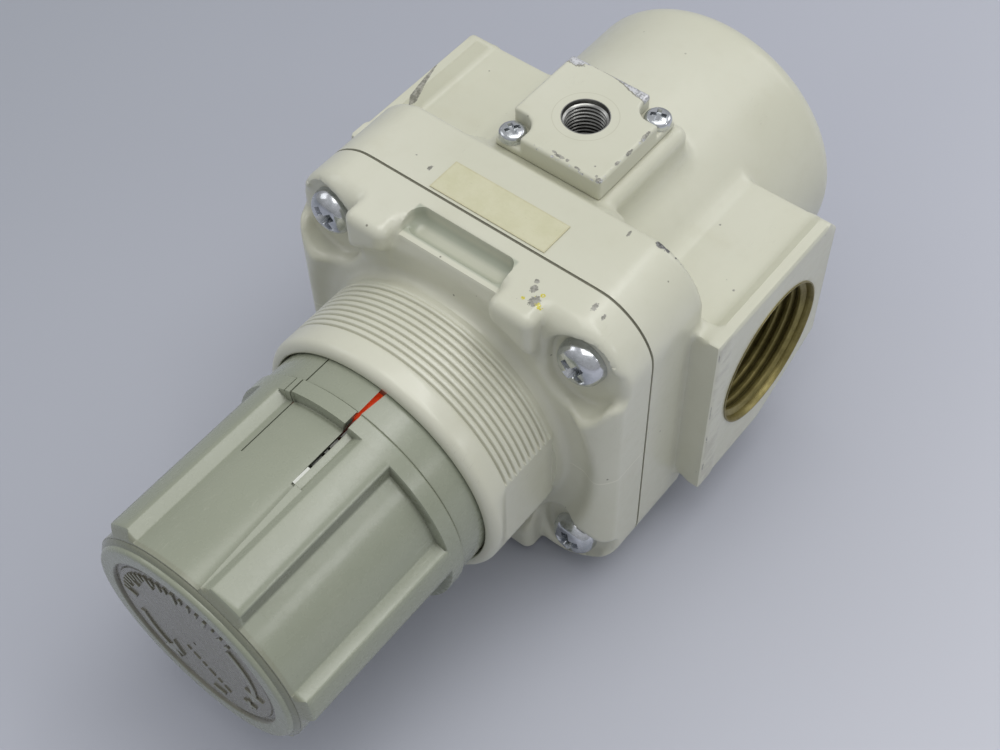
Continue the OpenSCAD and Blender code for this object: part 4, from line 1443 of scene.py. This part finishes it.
def add_knob():
    grip = dict(slot="grip_plastic", part="knob")
    add_piece("knob_grip", join([knob_shell(), knob_web()]), "knob", 28, "knob", **grip)
    add_piece("knob_latch_bits", slit_blocks(), "slit_blocks", 30, "knob", **grip)
    add_piece("knob_end_cap", cap_mesh(), "cap", 35, "knob_cap", **grip)


def add_springs():
    """Adjusting and valve springs as wire coils, fixed to the housing."""
    mesh = coil(radius=15.0, wire=1.75, z0=41.66, z1=79.94, turns=5.0, steps=56, sides=12)
    spring = add_piece("adjusting_spring_coil", mesh, "spring", 40, "adjusting_spring",
                       "spring_steel")
    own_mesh(spring)
    mesh = coil(radius=6.6, wire=0.7, z0=-39.95, z1=-14.05, turns=6.0, steps=40, sides=10)
    spring = add_piece("valve_spring_coil", mesh, "spring", 40, "valve_spring", "spring_steel")
    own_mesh(spring)


def add_diaphragm():
    """Rubber diaphragm sheet in place of the CAD node, attached to no part."""
    sheet = make("diaphragm_sheet", *diaphragm_mesh(), MATERIALS["sheet"], sharp=45)
    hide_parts("diaphragm")
    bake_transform(sheet)


add_castings()
add_port_threads()
add_gauge_ports()
add_bonnet_screws()
add_adapter_screws()
add_knob()
add_springs()
add_diaphragm()

# CAD nodes that are kept: new materials, and softened edges on all but the last four
CARRIED = dict(
    valve_rubber="rubber", valve_guide="dark", guide_clip="steel", valve_seat="brass",
    indicator_ring="orange", diaphragm_plate="steel", relief_seat="brass", diaphragm_nut="zinc",
    valve_stem="brass", spring_nut="steel", adjusting_screw="steel", thrust_washer="brass",
    screw_clip="steel",
    gauge_adapter_oring="rubber", rear_adapter_oring="rubber", guide_oring="rubber",
    label="label")
UNBEVELLED = ("gauge_adapter_oring", "rear_adapter_oring", "guide_oring", "label")
for name, material in CARRIED.items():
    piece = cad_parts[name]
    piece.data.materials.clear()
    piece.data.materials.append(MATERIALS[material])
    for polygon in piece.data.polygons:
        polygon.material_index = 0
        polygon.use_smooth = True
    if name not in UNBEVELLED:
        weld = piece.modifiers.new("weld", "WELD")
        weld.merge_threshold = 2e-6
        bevel = piece.modifiers.new("edge", "BEVEL")
        bevel.width = 0.00025
        bevel.segments = 2
        bevel.limit_method = "ANGLE"
        bevel.angle_limit = math.radians(40)
        bevel.use_clamp_overlap = True


# ---------------------------------------------------------------- studio, metres
def floor_material():
    m = Surface("studio_floor")
    col = m.mix(m.noise(scale=0.004).ramp(off=0.3, on=0.7), (176, 179, 189), (170, 173, 184))
    # painted light: lighter towards +x, darker towards -x, as the lamps' light falls off
    col = m.mix(m.x.ramp(off=0.0, on=180.0), col, (196, 198, 207))
    col = m.mix(m.x.ramp(off=20.0, on=-260.0), col, (153, 157, 166))
    grain = m.noise(scale=0.8, detail=3, rough=0.6)
    return m.finish(col, 0.55, 0.0, m.bump(grain, strength=0.05, depth=0.05))


def add_floor(half=1.6):
    z = cad_lo.z - 0.0001
    mesh = bpy.data.meshes.new("floor")
    corners = [(-half, -half, z), (half, -half, z), (half, half, z), (-half, half, z)]
    mesh.from_pydata(corners, [], [(0, 1, 2, 3)])
    floor = bpy.data.objects.new("floor", mesh)
    bpy.context.scene.collection.objects.link(floor)
    mesh.materials.append(floor_material())


# Area lights: name, place, target, size x, size y, watts, colour
LIGHTS = (
    ("key", (0.15, 0.10, 1.30), (0, -0.03, 0), 1.0, 1.0, 6.2, (1.0, 0.99, 0.96)),
    ("left", (-0.95, -0.30, 0.75), (0, -0.03, 0), 0.6, 0.6, 1.2, (0.97, 0.98, 1.0)),
    ("back", (0.35, 1.05, 0.75), (0, -0.03, 0), 0.6, 0.6, 1.6, (0.98, 0.98, 1.0)),
    ("side", (1.09, 0.30, 0.63), (0, -0.06, 0.0), 0.22, 0.22, 0.65, (1.0, 1.0, 1.0)),
    ("strip", (0.33, 0.47, 1.18), (0, -0.03, 0), 1.3, 0.16, 1.9, (1.0, 1.0, 1.0)))


def add_light(name, place, target, size_x, size_y, watts, colour):
    light = bpy.data.lights.new(name, "AREA")
    light.energy = watts
    light.color = colour
    light.shape = "RECTANGLE"
    light.size = size_x
    light.size_y = size_y
    lamp = bpy.data.objects.new(name, light)
    bpy.context.scene.collection.objects.link(lamp)
    lamp.location = place
    lamp.rotation_mode = "QUATERNION"
    lamp.rotation_quaternion = (Vector(target) - Vector(place)).to_track_quat("-Z", "Y")


def add_world():
    """Pale sky that brightens upwards."""
    world = bpy.data.worlds.new("studio")
    bpy.context.scene.world = world
    world.use_nodes = True
    tree = world.node_tree
    direction = node(tree, "TexCoord", {}, out="Generated")
    height = node(tree, "SeparateXYZ", {0: direction}, out=2)
    # height from -0.15 to 0.85 gives strength 0.35 to 0.68
    strength = node(tree, "MapRange", {0: height, 1: -0.15, 2: 0.85, 3: 0.35, 4: 0.68})
    fill(tree, tree.nodes["Background"], {0: (0.88, 0.89, 0.92, 1), 1: strength})


def add_camera():
    camera = bpy.data.cameras.new("camera")
    camera.sensor_fit = "HORIZONTAL"
    camera.sensor_width = 36.0
    camera.lens = 54.963036
    camera.clip_start = 0.01
    camera.clip_end = 20.0
    holder = bpy.data.objects.new("camera", camera)
    bpy.context.scene.collection.objects.link(holder)
    holder.matrix_world = Matrix((
        (0.7811073, -0.4943819, 0.3813895, 0.1280426),
        (0.6240929, 0.6372163, -0.4521764, -0.1839220),
        (-0.0194798, 0.5912208, 0.8062745, 0.2575630),
        (0, 0, 0, 1)))
    bpy.context.scene.camera = holder


add_floor()
for light_row in LIGHTS:
    add_light(*light_row)
add_world()
add_camera()
bpy.context.scene.view_settings.view_transform = "Standard"
